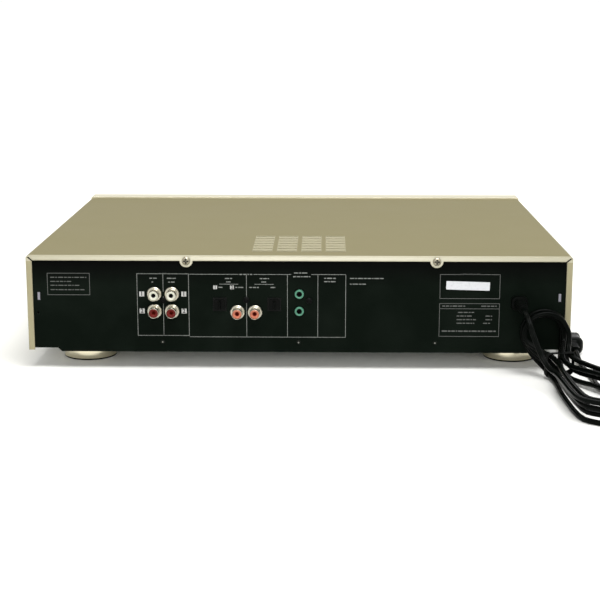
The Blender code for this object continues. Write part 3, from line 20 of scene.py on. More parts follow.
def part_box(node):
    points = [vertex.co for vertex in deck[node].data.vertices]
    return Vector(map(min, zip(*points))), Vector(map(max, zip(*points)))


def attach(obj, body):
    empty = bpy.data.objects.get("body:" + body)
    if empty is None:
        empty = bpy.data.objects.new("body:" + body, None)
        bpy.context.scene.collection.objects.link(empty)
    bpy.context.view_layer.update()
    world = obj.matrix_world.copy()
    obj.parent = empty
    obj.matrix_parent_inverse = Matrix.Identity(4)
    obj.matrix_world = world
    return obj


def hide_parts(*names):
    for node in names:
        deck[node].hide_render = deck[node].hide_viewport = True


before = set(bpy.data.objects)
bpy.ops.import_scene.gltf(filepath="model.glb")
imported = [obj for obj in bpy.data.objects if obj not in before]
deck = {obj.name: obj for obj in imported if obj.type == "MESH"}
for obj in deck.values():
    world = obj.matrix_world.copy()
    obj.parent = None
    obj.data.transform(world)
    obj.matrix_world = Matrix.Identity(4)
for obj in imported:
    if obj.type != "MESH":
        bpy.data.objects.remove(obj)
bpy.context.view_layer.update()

# %% [markdown]
# ## The camera
#
# The deck was photographed from behind and a little above, with a long lens, so that its far
# edge is hardly smaller than the near one. A camera can be aimed with a Track To constraint, but
# here its place and its axes are known from matching the deck's corners, so they are set
# directly: the columns of its matrix are where its own right, up and backward axes point.

# %% Place the camera
camera_data = bpy.data.cameras.new("studio_camera")
camera_data.sensor_width = 36
camera_data.lens = 83.84
camera = bpy.data.objects.new("studio_camera", camera_data)
bpy.context.scene.collection.objects.link(camera)
bpy.context.scene.camera = camera

camera_place = Vector((-0.020365, 1.278635, 0.299204))
camera_right = Vector((-0.99984889, -0.01738366, 0.00007437)).normalized()
near_up = Vector((0.00377673, -0.21304474, 0.97703515))
camera_back = camera_right.cross(near_up).normalized()
camera_up = camera_back.cross(camera_right)
camera_axes = Matrix((camera_right, camera_up, camera_back)).transposed()
camera.matrix_world = Matrix.Translation(camera_place) @ camera_axes.to_4x4()
print("The camera looks down by", round(math.degrees(math.asin(camera_back.z)), 1), "degrees")

# %% [markdown]
# ## Where the mains lead runs
#
# The lead is two metres of flat two-core flex. It leaves the panel through a strain relief and
# drops onto a hank that is tied at its waist, where it turns from the panel onto the floor. Its
# end lies beside the deck with the plug on it. A curve object could carry it, but a flat flex has
# a wide and a narrow side, and how these turn matters as much as the line itself. So the route is
# worked out as points here, and a section is swept along them later.
#
# These are the sizes of the hank. The solids are wound with the same ones.

# %% Sizes of the lead and its hank
panel_face_y = 0.1744
lead_width = 0.0042
lead_thickness = 0.0036
lead_rest = 0.0021
lead_exit = Vector((-0.1780, panel_face_y + 0.0280, 0.0570))
plug_mouth = Vector((-0.2315, panel_face_y - 0.0360, 0.0078))
tie_x, tie_along = -0.2070, 0.0400
hank_tilt = math.radians(14)
hank_bend = 0.0330
upper_run, lower_run = 0.0400, 0.1050
upper_bulb, lower_bulb = 0.0140, 0.0240
waist = 0.0042
strand_step, layer_step, hank_layers = 0.0056, 0.0051, 4
tie_lift, tie_spread = 0.0017, 0.0150
loop_points, run_points = 24, 7
run_shares = (0, 0.063, 0.133, 0.203, 0.28, 0.406, 0.65, 1)
hank_start = 6 / loop_points
hank_climb = 1 + 13.5 / loop_points
climb_window = 1.5 / loop_points
hank_end = 4 + 13 / loop_points


# %% [markdown]
# ## Winding the hank
#
# A hank is wound flat first: each turn has a narrow waist and a round bulb at each end, each turn
# lies beside the last one, and then the winding steps down by a layer. The flat hank is then laid
# down the panel, round a bend and out over the floor. Two functions keep these two ideas apart,
# and the second one also says which way is up out of the hank at any point of it.

# %% Wind the hank
def ease(share):
    """Rises from 0 to 1 and is level at both ends."""
    return (1 - math.cos(math.pi * min(max(share, 0), 1))) / 2


def hank_flat(turn):
    """Where the lead is after so many turns: along, across, and height over the lowest layer."""
    middle = hank_climb if turn < hank_climb + 1 else hank_climb + 2
    growth = abs(turn - middle) * strand_step
    height = layer_step * (hank_layers - 1)
    for layer in range(hank_layers - 1):
        begun = turn - hank_climb - layer + climb_window
        height -= layer_step * ease(begun / (2 * climb_window))
    side = -1 if (turn % 1) < 0.5 else 1
    step = (turn % 0.5) * loop_points
    if step <= run_points:
        ahead = step if side < 0 else run_points - step
        share = float(np.interp(ahead, range(run_points + 1), run_shares))
        along = share * (upper_run + lower_run) - upper_run
        bulb, run = (lower_bulb, lower_run) if along > 0 else (upper_bulb, upper_run)
        across = side * (waist + (bulb - waist) * ease(abs(along) / run) + growth)
    else:
        swing = (step - run_points) / (loop_points / 2 - run_points) * math.pi
        bulb, run = (lower_bulb, lower_run) if side < 0 else (upper_bulb, upper_run)
        along = -side * (run + (bulb + growth) * math.sin(swing))
        across = side * (bulb + growth) * math.cos(swing)
    return along, across, height + tie_lift * math.exp(-((along / tie_spread) ** 2))


def hank_world(along, across, height):
    """Lays a point of the flat hank down the panel, round a bend and out over the floor."""
    x = tie_x - along * math.sin(hank_tilt) - across * math.cos(hank_tilt)
    down = tie_along + along * math.cos(hank_tilt) - across * math.sin(hank_tilt)
    turn = min(max(down / hank_bend, 0), math.pi / 2)
    before = min(down, 0)
    after = max(down - hank_bend * math.pi / 2, 0)
    radius = hank_bend - height
    y = panel_face_y + lead_rest + hank_bend - radius * math.cos(turn) + after
    z = lead_rest + hank_bend - radius * math.sin(turn) - before
    return Vector((x, y, z))


def hank_up(along, across, height):
    """The direction out of the hank, away from what it lies on."""
    return hank_world(along, across, height + strand_step) - hank_world(along, across, height)


wound = round((hank_end - hank_start) * loop_points)
hank_spots = [hank_flat(hank_start + i / loop_points) for i in range(wound + 1)]
print(len(hank_spots), "points in", round(hank_end - hank_start, 2), "turns of the hank")

# %% [markdown]
# ## The whole line
#
# The two free ends of the lead aren't wound, so their points are listed: first those from the
# strain relief down to the hank, and later those from the hank back to the plug. A smooth curve
# through all the points, a Catmull-Rom spline, gives the line that the section follows.
# Each point also has an upward direction, so that the flex lies on its wide side.

# %% Draw the whole line
stretch_points = (
    (-0.0007, 0.0130, 0.0547),
    (-0.0025, 0.0192, 0.0485),
    (-0.0052, 0.0220, 0.0405),
    (-0.0080, 0.0235, 0.0335),
    (-0.0112, 0.0266, 0.0262),
    (-0.0145, 0.0325, 0.0206),
    (-0.0175, 0.0392, 0.0182),
)
tail_points = (
    (-0.0027, 0.0500, 0),
    (-0.0025, 0.0360, 0),
    (-0.0021, 0.0200, 0),
    (-0.0013, 0.0040, 0),
    (-0.0006, -0.0080, 0.0002),
    (-0.0002, -0.0160, 0.0018),
    (0, -0.0240, 0.0040),
)
skyward = Vector((0, 0, 1))
outward = Vector((0, 1, 0))
sideways = Vector((1, 0, 0))

route = [(lead_exit, skyward), (lead_exit + lead_width * outward, skyward)]
for aside, out, height in stretch_points:
    place = Vector((lead_exit.x + aside, lead_exit.y + out, height))
    route.append((place, skyward.lerp(outward, ease(2 - 2 * height / lead_exit.z))))
route += [(hank_world(*spot), hank_up(*spot)) for spot in hank_spots]
for aside, out, rise in tail_points:
    route.append((Vector((plug_mouth.x + aside, panel_face_y + out, lead_rest + rise)), skyward))
route += [(plug_mouth + lead_width * outward, skyward), (plug_mouth, skyward)]


def smooth_line(points, steps):
    """A Catmull-Rom curve through points, in so many steps between each two of them."""
    known = [np.array(point, float) for point in points]
    known = [2 * known[0] - known[1], *known, 2 * known[-1] - known[-2]]
    line = []
    for a, b, c, d in zip(known, known[1:], known[2:], known[3:]):
        slope = (c - a) / 2
        curve = (2 * a - 5 * b + 4 * c - d) / 2
        twist = (3 * b - a - 3 * c + d) / 2
        for i in range(steps):
            t = i / steps
            line.append(Vector(b + slope * t + curve * t**2 + twist * t**3))
    return line + [Vector(known[-2])]


lead_steps = 3
lead_line = smooth_line([place for place, _ in route], lead_steps)
lead_ups = smooth_line([up.normalized() for _, up in route], lead_steps)
lead_length = sum((b - a).length for a, b in zip(lead_line, lead_line[1:]))
print(len(lead_line), "points along", round(lead_length, 3), "m of lead")

# %% [markdown]
# ## Rings, the one tool behind most pieces
#
# A lead, a knob, a foot and a moulded cap have one thing in common: each can be described as a
# row of closed outlines, or rings, joined by faces. One function joins rings in a bmesh, and
# another turns a finished bmesh into a piece: shaded smooth, with edges kept sharp where faces
# meet at more than a given angle, riding on a body, and standing for the CAD nodes it replaces.
# A third one does both for a piece that is a single row of rings.

# %% Join rings and hang a piece on its body
def add_rings(shape, rings, closed=False):
    """Joins rings of points with faces. A ring of one point is a pole, and open ends are capped."""
    made = [[shape.verts.new(point) for point in ring] for ring in rings]
    pairs = list(zip(made, made[1:]))
    if closed:
        pairs.append((made[-1], made[0]))
    for first, second in pairs:
        for i in range(max(len(first), len(second))):
            j = i + 1
            corners = [first[i % len(first)], first[j % len(first)]]
            corners += [second[j % len(second)], second[i % len(second)]]
            shape.faces.new(list(dict.fromkeys(corners)))
    if not closed:
        for end in (made[0], made[-1]):
            if len(end) > 2:
                shape.faces.new(end)


def piece(name, shape, finish, body="housing", stands_for=(), slot=None, crease=40):
    """Makes a bmesh into a piece that rides on a body and may stand for CAD nodes."""
    bmesh.ops.recalc_face_normals(shape, faces=shape.faces[:])
    mesh = bpy.data.meshes.new(name)
    shape.to_mesh(mesh)
    shape.free()
    mesh.shade_smooth()
    mesh.set_sharp_from_angle(angle=math.radians(crease))
    mesh.materials.append(finish)
    made = bpy.data.objects.new(name, mesh)
    bpy.context.scene.collection.objects.link(made)
    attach(made, body)
    if stands_for:
        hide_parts(*stands_for)
    return made


def ring_piece(name, rings, finish, closed=False, **more):
    """A piece that is one row of rings."""
    shape = bmesh.new()
    add_rings(shape, rings, closed)
    return piece(name, shape, finish, **more)


# %% [markdown]
# ## Finishes, and how they are built up
#
# A material here starts as one Principled shader with the colour, roughness and metallic value of
# its finish. Real surfaces are never that even, so small steps are stacked on top: a mottle that
# shifts the colour, an uneven sheen, a grain that tilts the light, and softened edges that catch
# it. Each step is a function that adds a few nodes, so every finish below reads as a recipe. One
# more function, layered, takes the usual steps at once: sheen, patches, edges and bumps.
#
# The pattern's place comes from Object coordinates, which are metres on the piece itself and move
# with it. Mapping stretches them where a finish is drawn out in one direction, as brushing is.

# %% Start a finish and add nodes to it
def new_finish(name, colour, roughness, metallic=0.0, **plain):
    """A material whose Principled shader has these plain values."""
    finish = bpy.data.materials.new(name)
    finish.use_nodes = True
    shader = finish.node_tree.nodes["Principled BSDF"]
    values = {"Base Color": (*colour, 1), "Roughness": roughness, "Metallic": metallic}
    values.update({word.replace("_", " "): value for word, value in plain.items()})
    for socket, value in values.items():
        shader.inputs[socket].default_value = value
    return finish


def shader_input(finish, socket):
    return finish.node_tree.nodes["Principled BSDF"].inputs[socket]


def add_node(finish, kind, **values):
    """Adds a shader node. A word is one of its settings, or a socket with _ for each space."""
    node = finish.node_tree.nodes.new("ShaderNode" + kind)
    for word, value in values.items():
        if hasattr(node, word):
            setattr(node, word, value)
        else:
            node.inputs[word.replace("_", " ")].default_value = value
    return node


def join(finish, output, socket):
    finish.node_tree.links.new(output, socket)


def own_place(finish, node):
    """Feeds a node's first socket with the place on the piece itself."""
    spot = add_node(finish, "TexCoord")
    join(finish, spot.outputs["Object"], node.inputs[0])


# %% [markdown]
# ## The steps of a finish
#
# Every step reads what already feeds a socket and puts itself in between, so steps can be
# stacked in any number. The softened edge is worth a note: the Bevel node averages the normal
# around a point, so a sharp CAD edge shades as if it were rounded, and comparing that normal with
# the true one gives a mask of the edges, where lacquer wears thin first and where the cover's
# folds get a painted highlight.

# %% The steps of a finish
def noise(finish, scale, detail=2.0, stretch=(1, 1, 1)):
    """A noise pattern in the piece's own metres, with so many waves to the metre."""
    mapping = add_node(finish, "Mapping", Scale=stretch)
    pattern = add_node(finish, "TexNoise", Scale=scale, Detail=detail)
    own_place(finish, mapping)
    join(finish, mapping.outputs["Vector"], pattern.inputs["Vector"])
    return pattern.outputs["Fac"]


def ranged(finish, value, start, end, low=0.0, high=1.0):
    """Maps a value's span from start to end onto low to high, and clamps it there."""
    step = add_node(finish, "MapRange", From_Min=start, From_Max=end, To_Min=low, To_Max=high)
    join(finish, value, step.inputs["Value"])
    return step.outputs["Result"]


def tint(finish, mask, other):
    """Mixes another colour in where a mask says so."""
    base = shader_input(finish, "Base Color")
    mix = add_node(finish, "Mix", data_type="RGBA")
    first, second = [socket for socket in mix.inputs if socket.type == "RGBA"]
    result = next(socket for socket in mix.outputs if socket.type == "RGBA")
    first.default_value = base.default_value
    if base.is_linked:
        join(finish, base.links[0].from_socket, first)
    second.default_value = (*other, 1)
    join(finish, mask, mix.inputs["Factor"])
    join(finish, result, base)


def mottle(finish, scale, other, start=0.4, end=0.7, detail=3.0, stretch=(1, 1, 1)):
    """Shifts the colour towards another one in soft patches."""
    tint(finish, ranged(finish, noise(finish, scale, detail, stretch), start, end), other)


def uneven_sheen(finish, scale, low, high, detail=3.0, stretch=(1, 1, 1)):
    """Lets the roughness wander between two values."""
    pattern = noise(finish, scale, detail, stretch)
    sheen = ranged(finish, pattern, 0.3, 0.7, low, high)
    join(finish, sheen, shader_input(finish, "Roughness"))


def emboss(finish, pattern, height):
    """Raises a pattern out of the surface, by so many metres, on top of the relief so far."""
    normal = shader_input(finish, "Normal")
    bump = add_node(finish, "Bump", Distance=height)
    if normal.is_linked:
        join(finish, normal.links[0].from_socket, bump.inputs["Normal"])
    join(finish, pattern, bump.inputs["Height"])
    join(finish, bump.outputs["Normal"], normal)


def grain(finish, scale, height, detail=2.0, stretch=(1, 1, 1)):
    emboss(finish, noise(finish, scale, detail, stretch), height)


def band(finish, axis, start, end):
    """Rises from 0 to 1 between two places on one of the piece's own axes."""
    parts = add_node(finish, "SeparateXYZ")
    own_place(finish, parts)
    return ranged(finish, parts.outputs[axis], start, end)


def tint_beyond(finish, axis, start, end, other):
    """Mixes another colour in from one place to another on an axis, and past it."""
    tint(finish, band(finish, axis, start, end), other)


def soft_edges(finish, radius, wear_and_highlight=None, reach=0.12):
    """Shades edges as if rounded and may tint them: wear elsewhere, painted highlight on the cover.
    """
    rounded = add_node(finish, "Bevel", samples=4, Radius=radius)
    join(finish, rounded.outputs["Normal"], shader_input(finish, "Normal"))
    if wear_and_highlight is None:
        return
    true = add_node(finish, "NewGeometry")
    likeness = add_node(finish, "VectorMath", operation="DOT_PRODUCT")
    join(finish, rounded.outputs["Normal"], likeness.inputs[0])
    join(finish, true.outputs["Normal"], likeness.inputs[1])
    tint(finish, ranged(finish, likeness.outputs["Value"], 1, 1 - reach, 0, 0.8), wear_and_highlight)


def darken_hollows(finish, reach, open_share, shut_share):
    """Paints shade where the surface is shut in by itself within this reach."""
    hollow = add_node(finish, "AmbientOcclusion", samples=8, Distance=reach)
    mask = ranged(finish, hollow.outputs["AO"], open_share, shut_share)
    tint(finish, mask, (0.015, 0.014, 0.012))


def layered(
    name, colour, roughness, metallic=0.0, *,
    sheen, patches, bumps, edges=(), lie=None, **plain,
):
    """A finish with the usual steps, each given as the values that its function takes."""
    finish = new_finish(name, colour, roughness, metallic, **plain)
    drawn = {"stretch": lie} if lie else {}
    uneven_sheen(finish, *sheen, **drawn)
    mottle(finish, *patches, **drawn)
    if edges:
        soft_edges(finish, *edges)
    grain(finish, *bumps, **drawn)
    return finish


def dress(finish, *names):
    """Gives CAD nodes that keep their shape their finish."""
    for name in names:
        for slot in deck[name].material_slots:
            slot.material = finish


# %% [markdown]
# ## The flat flex
#
# Two cores lie side by side under one black jacket, with a shallow groove between them. In
# section these are two arcs that meet, 4.2 mm across and 3.6 mm thick. The section is swept along
# the line, and at each point it is turned so that its wide side lies on the strand below it. A
# curve with a bevel object would twist on the hank's steep bends, and this can't.

# %% Sweep the flex along its line
core_offset = 0.0007
core_reach = lead_width / 2 - core_offset
core_angles = [math.radians(angle) for angle in range(-120, 120, 20)]
core_arc = [
    (core_offset + core_reach * math.cos(a), lead_thickness / 2 * math.sin(a)) for a in core_angles
]
flex_section = core_arc + [(-across, -up) for across, up in core_arc]

black_jacket = layered(
    "black_jacket", (0.0012, 0.0018, 0.0013), 0.24, Specular_IOR_Level=0.035,
    sheen=(420, 0.2, 0.28), patches=(60, (0.0018, 0.0026, 0.002)), bumps=(900, 0.00001),
)


def swept_rings(line, ups, section):
    """Rings of a section swept along a line, with the section's second axis kept upward."""
    rings = []
    for i, place in enumerate(line):
        ahead = (line[min(i + 1, len(line) - 1)] - line[max(i - 1, 0)]).normalized()
        aside = ahead.cross(ups[i]).normalized()
        above = aside.cross(ahead)
        rings.append([place + a * aside + b * above for a, b in section])
    return rings


mains_flex = ring_piece(
    "mains_flex", swept_rings(lead_line, lead_ups, flex_section), black_jacket,
    stands_for=("lead_stretch", "lead_hank", "lead_tail"), slot="jacket",
)
print(len(mains_flex.data.polygons), "faces of flex")

# %% [markdown]
# ## Outlines with round corners
#
# Mouldings are seldom round and seldom square. This outline is a rectangle whose corners are
# quarter circles. The strain relief, the plug, the tie and every key of the front are rows of it,
# so that one rounding rule serves them all.


# %% A rectangle with round corners
def rounded(width, height, radius, steps=5):
    """Outline of a rectangle with round corners, about the origin."""
    outline = []
    for corner, (across, up) in enumerate(((1, 1), (-1, 1), (-1, -1), (1, -1))):
        for i in range(steps + 1):
            turn = (corner + i / steps) * math.pi / 2
            x = across * (width / 2 - radius) + radius * math.cos(turn)
            outline.append((x, up * (height / 2 - radius) + radius * math.sin(turn)))
    return outline


def oblong(left, low, right, high):
    """Corners of an upright rectangle."""
    return [(left, low), (right, low), (right, high), (left, high)]


def rows_along_y(centre, rows, steps=5):
    """Rings square to Y, from rows of place, width, height and corner radius."""
    rings = []
    for along, width, height, radius in rows:
        flat = rounded(width, height, radius, steps)
        rings.append([(centre[0] + a, centre[1] + along, centre[2] + b) for a, b in flat])
    return rings


# %% [markdown]
# ## The tie round the hank
#
# A paper-covered wire holds the strands at the waist. Its band follows the bundle's own outline,
# so the widest strands set its width and the four layers its height, and its ends are twisted
# together and stand off the bundle. The twist is one flat ribbon whose upward direction turns
# three times on its way.

# %% Bend the tie round the waist
tie_band, tie_sheet, tie_slack, tie_corner = 0.0060, 0.0008, 0.0006, 0.0030
near_tie = [spot for spot in hank_spots if abs(spot[0]) < tie_band]
tie_left = min(across for _, across, _ in near_tie) - lead_rest - tie_slack
tie_right = max(across for _, across, _ in near_tie) + lead_rest + tie_slack
tie_low = tie_lift - lead_rest - tie_slack
tie_high = tie_lift + layer_step * (hank_layers - 1) + lead_rest + tie_slack
tie_middle = ((tie_left + tie_right) / 2, (tie_low + tie_high) / 2)
tie_wide, tie_tall = tie_right - tie_left, tie_high - tie_low

band_steps = 6
band_rows = []
for step in range(-band_steps, band_steps + 1, 2):
    along = step / band_steps
    band_rows.append((along, 1 - abs(along) ** 3))
band_rows += [(step / band_steps, 0) for step in range(band_steps, -band_steps - 1, -4)]
rings = []
for along, share in band_rows:
    grow = tie_sheet * share
    flat = rounded(tie_wide + 2 * grow, tie_tall + 2 * grow, tie_corner + grow)
    ring = []
    for across, up in flat:
        ring.append(hank_world(along * tie_band / 2, tie_middle[0] + across, tie_middle[1] + up))
    rings.append(ring)

tie_paper = new_finish("tie_paper", (0.003, 0.0035, 0.003), 0.5, Specular_IOR_Level=0.05)
mottle(tie_paper, 1500, (0.005, 0.0055, 0.005))
uneven_sheen(tie_paper, 700, 0.45, 0.65)
grain(tie_paper, 2500, 0.00005, stretch=(1, 1, 4))

shape = bmesh.new()
add_rings(shape, rings, closed=True)
twist_steps, twist_turns, twist_length = 36, 3, 0.0130
twist_foot = hank_world(0, tie_middle[0], tie_high)
twist_way = (hank_world(0.4, tie_middle[0], tie_high + 1) - twist_foot).normalized()
twist_line, twist_ups = [], []
for i in range(twist_steps + 1):
    share = i / twist_steps
    twist_line.append(twist_foot + twist_length * share * twist_way)
    twist = Matrix.Rotation(share * twist_turns * math.tau, 3, twist_way)
    twist_ups.append(twist @ sideways)
ribbon_wide, ribbon_thick, ribbon_corner = 0.0026, 0.0009, 0.0003
ribbon = rounded(ribbon_wide, ribbon_thick, ribbon_corner, 2)
add_rings(shape, swept_rings(twist_line, twist_ups, ribbon))
hank_tie = piece("hank_tie", shape, tie_paper, stands_for=("lead_tie",), slot="black_plastic")
print("The tie holds a bundle", round(1000 * tie_wide, 1), "mm wide")

# %% [markdown]
# ## The strain relief
#
# Where the lead leaves the panel it is held by a moulded bush: a flange inside, a neck in the
# panel's hole, a boss outside, and a stem that thins towards its tip so that the lead bends in a
# long curve and not at one point. Real stems are slotted to bend more easily, and the slots are
# rows with a smaller section between full rows.

# %% Mould the strain relief
relief_place = (lead_exit.x, panel_face_y, lead_exit.z)
relief_rows = [
    (-0.0068, 0.0120, 0.0100, 0.0024),
    (-0.0018, 0.0120, 0.0100, 0.0024),
    (-0.0018, 0.0102, 0.0084, 0.0024),
    (0.0003, 0.0102, 0.0084, 0.0024),
    (0.0003, 0.0128, 0.0108, 0.0036),
    (0.0007, 0.0132, 0.0112, 0.0038),
    (0.0047, 0.0132, 0.0112, 0.0038),
    (0.0053, 0.0126, 0.0106, 0.0036),
]
stem_start, stem_end, stem_ribs = 0.0056, 0.0284, 7
stem_wide, stem_tip = (0.0098, 0.0088), (0.0066, 0.0060)
rib_pitch = (stem_end - stem_start) / stem_ribs
rib_shape = ((0, 0.74), (0.3, 0.74), (0.36, 0.96), (0.44, 1), (0.92, 1), (1, 0.96))
for rib in range(stem_ribs):
    for part, share in rib_shape:
        along = stem_start + (rib + part) * rib_pitch
        thinned = (along - stem_start) / (stem_end - stem_start)
        width = share * (stem_wide[0] + thinned * (stem_tip[0] - stem_wide[0]))
        height = share * (stem_wide[1] + thinned * (stem_tip[1] - stem_wide[1]))
        relief_rows.append((along, width, height, 0.35 * height))

bush_rubber = layered(
    "bush_rubber", (0.0013, 0.0018, 0.0014), 0.36, Specular_IOR_Level=0.03,
    sheen=(300, 0.32, 0.48), patches=(400, (0.002, 0.0026, 0.0021)),
    edges=(0.00025,), bumps=(1800, 0.00004),
)

bush = ring_piece(
    "relief_bush", rows_along_y(relief_place, relief_rows), bush_rubber,
    stands_for=("strain_relief",), slot="black_plastic",
)
print("Strain relief reaches", round(1000 * stem_end, 1), "mm out of the panel")

# %% [markdown]
# ## The plug
#
# A moulded two-blade plug lies on the floor beside the deck, blades towards the front. Its body
# is waisted where fingers pinch it, and a ribbed sleeve runs out over the lead. The blades are
# flat brass with a hole near the tip. A hole needs no Boolean: the outline round the blade and the
# outline round the hole have the same number of points, and faces join the two.

# %% Mould the plug
sleeve_ribs, sleeve_length = 4, 0.0115
sleeve_size, sleeve_growth = 0.0076, 0.0030
sleeve_shape = ((0, 1), (0.55, 1), (0.6, 0.8), (0.95, 0.8))
sleeve_rows = []
for rib in range(sleeve_ribs):
    for part, share in sleeve_shape:
        out = (rib + part) / sleeve_ribs
        size = share * (sleeve_size + sleeve_growth * out)
        sleeve_rows.append((-sleeve_length * out, size, 0.94 * size, 0.35 * size))
plug_rows = [
    *sleeve_rows,
    (-0.0120, 0.0122, 0.0110, 0.0040),
    (-0.0135, 0.0154, 0.0130, 0.0050),
    (-0.0155, 0.0184, 0.0143, 0.0054),
    (-0.0180, 0.0198, 0.0149, 0.0055),
    (-0.0200, 0.0196, 0.0150, 0.0054),
    (-0.0226, 0.0180, 0.0148, 0.0050),
    (-0.0264, 0.0174, 0.0147, 0.0046),
    (-0.0302, 0.0182, 0.0148, 0.0046),
    (-0.0327, 0.0198, 0.0150, 0.0044),
    (-0.0350, 0.0200, 0.0150, 0.0040),
    (-0.0358, 0.0196, 0.0146, 0.0038),
    (-0.0360, 0.0188, 0.0138, 0.0036),
]
plug = ring_piece(
    "plug_grip", rows_along_y(plug_mouth, plug_rows), black_jacket,
    stands_for=("plug_body",), slot="jacket",
)


# %% Cut the blades
def holed_plate(shape, centre, half_long, half_tall, sheet, hole, hole_from_end, sides=32):
    """A plate square to X with a round hole near its end towards -Y."""
    middle = -half_long + hole_from_end
    outline, rim = [], []
    for i in range(sides):
        turn = math.tau * (i + 0.5) / sides
        a, b = math.cos(turn), math.sin(turn)
        far = half_long - middle if a > 0 else half_long + middle
        reach = min(far / max(abs(a), 0.001), half_tall / max(abs(b), 0.001))
        outline.append((middle + reach * a, reach * b))
        rim.append((middle + hole * a, hole * b))
    rings = []
    for flat, side in ((outline, -1), (outline, 1), (rim, 1), (rim, -1)):
        x = centre[0] + side * sheet / 2
        rings.append([(x, centre[1] + a, centre[2] + b) for a, b in flat])
    add_rings(shape, rings, closed=True)


blade_brass = new_finish("blade_brass", (0.60, 0.53, 0.38), 0.28, 1.0)
uneven_sheen(blade_brass, 500, 0.2, 0.4, stretch=(1, 0.1, 1))
mottle(blade_brass, 90, (0.42, 0.33, 0.2), 0.5, 0.8)
grain(blade_brass, 1500, 0.00001, stretch=(1, 0.05, 1))

blade_hole, hole_from_tip = 0.0015, 0.0035
for number in (1, 2):
    node = f"plug_blade_{number}"
    low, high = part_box(node)
    middle = (low + high) / 2
    half = (high - low) / 2
    shape = bmesh.new()
    holed_plate(shape, middle, half.y, half.z, 2 * half.x, blade_hole, hole_from_tip)
    piece(f"blade_{number}", shape, blade_brass, stands_for=(node,), slot="nickel")

# %% [markdown]

# %% [markdown]
# ## Turned pieces
#
# Feet, screws, sockets and knobs are turned: a half outline spun about an axis. The Screw modifier
# could spin it, but rings made here can also be dented on the way, so that a screw gets its cross
# recess and a dial its flutes and finger dimple from the same call. The bend function is given each
# point as two places across the axis and one along it, and hands back where it should lie.

# %% Turn an outline about an axis
def turned(profile, centre, axis, sides=48, bend=None):
    """Rings from pairs of radius and place along the axis, about a centre."""
    rings = []
    for radius, along in profile:
        ring = []
        for i in range(sides if radius else 1):
            turn = math.tau * (i + 0.5) / sides
            spot = (radius * math.cos(turn), radius * math.sin(turn), along)
            a, b, level = bend(*spot) if bend else spot
            spun = {"X": (level, a, b), "Y": (a, level, b), "Z": (a, b, level)}[axis]
            ring.append(tuple(c + s for c, s in zip(centre, spun)))
        rings.append(ring)
    return rings


def turned_piece(name, profile, centre, axis, finish, sides=48, bend=None, **more):
    return ring_piece(name, turned(profile, centre, axis, sides, bend), finish, **more)


# %% [markdown]
# ## The feet
#
# Each foot is a shallow drum in champagne plastic with a bright ring, as wide as three fingers
# and lower than it is wide. A recess in its underside holds a felt pad. The ring is what the eye
# picks out under the black panel, so its rims get real curves. Its lowest edge is painted dark,
# as a painted contact shadow on the floor.

# %% Turn the feet
foot_radius, foot_ring, foot_recess = 0.0222, 0.0050, 0.0020
foot_round, foot_shade_top, foot_lean = 0.0010, 0.0013, 0.0009
foot_break, foot_top_round = 0.0004, 0.0008
groove_foot, groove_head, groove_sink = 0.0046, 0.0032, 0.0005
felt_gap, felt_sole = 0.0010, 0.0005
foot_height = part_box("foot_rear_left")[1].z

champagne_gloss = layered(
    "champagne_gloss", (0.78, 0.72, 0.54), 0.16, 1.0,
    sheen=(900, 0.13, 0.19), patches=(3200, (0.70, 0.64, 0.48), 0.5, 0.8), bumps=(3200, 0.000003),
)
# Painted contact shadow: the foot's lowest edge is painted near black.
tint_beyond(champagne_gloss, "Z", foot_shade_top + 0.0003, foot_shade_top, (0.012, 0.011, 0.01))

felt_grey = new_finish("felt_grey", (0.05, 0.05, 0.045), 0.95)
mottle(felt_grey, 1500, (0.09, 0.09, 0.08), detail=6)
grain(felt_grey, 2200, 0.0003, detail=5)


def arc(centre, radius, start, end, steps=5):
    """Points on an arc between two angles in degrees, as pairs of radius and place."""
    turns = [math.radians(start + (end - start) * i / steps) for i in range(steps + 1)]
    return [(centre[0] + radius * math.cos(t), centre[1] + radius * math.sin(t)) for t in turns]


rim_inner = foot_radius - foot_round - foot_ring
foot_neck = foot_radius - foot_lean
foot_profile = [
    (0, foot_recess),
    (rim_inner, foot_recess),
    (rim_inner, foot_break),
    (rim_inner + foot_break, 0),
    *arc((foot_radius - foot_round, foot_round), foot_round, -90, 0),
    (foot_neck, foot_height - groove_foot),
    (foot_neck - groove_sink, foot_height - groove_foot + foot_break),
    (foot_neck - groove_sink, foot_height - groove_head - foot_break),
    (foot_neck, foot_height - groove_head),
    *arc((foot_neck - foot_top_round, foot_height - foot_top_round), foot_top_round, 0, 90, 3),
    (0, foot_height),
]
felt_edge = rim_inner - felt_gap
felt_profile = [
    (0, foot_recess),
    (felt_edge, foot_recess),
    (felt_edge, felt_sole + foot_break),
    (felt_edge - foot_break, felt_sole),
    (0, felt_sole),
]
for row in ("front", "rear"):
    for side in ("left", "right"):
        node = f"foot_{row}_{side}"
        low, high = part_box(node)
        spot = ((low.x + high.x) / 2, (low.y + high.y) / 2, 0)
        turned_piece(
            f"drum_{row}_{side}", foot_profile, spot, "Z", champagne_gloss,
            sides=96, stands_for=(node,), slot="champagne_plastic",
        )
        turned_piece(f"felt_{row}_{side}", felt_profile, spot, "Z", felt_grey, slot="black_plastic")
print("Feet", round(2000 * foot_radius, 1), "mm across and", round(1000 * foot_height, 1), "high")

# %% [markdown]
# ## The screws
#
# All screws are round-headed with a cross recess. The recess is cut into the crown by the bend
# function: where a point of the crown lies under one of the two crossed blades of the driver, it
# sinks, and more so towards the middle. A Boolean would leave long thin faces on the dome.

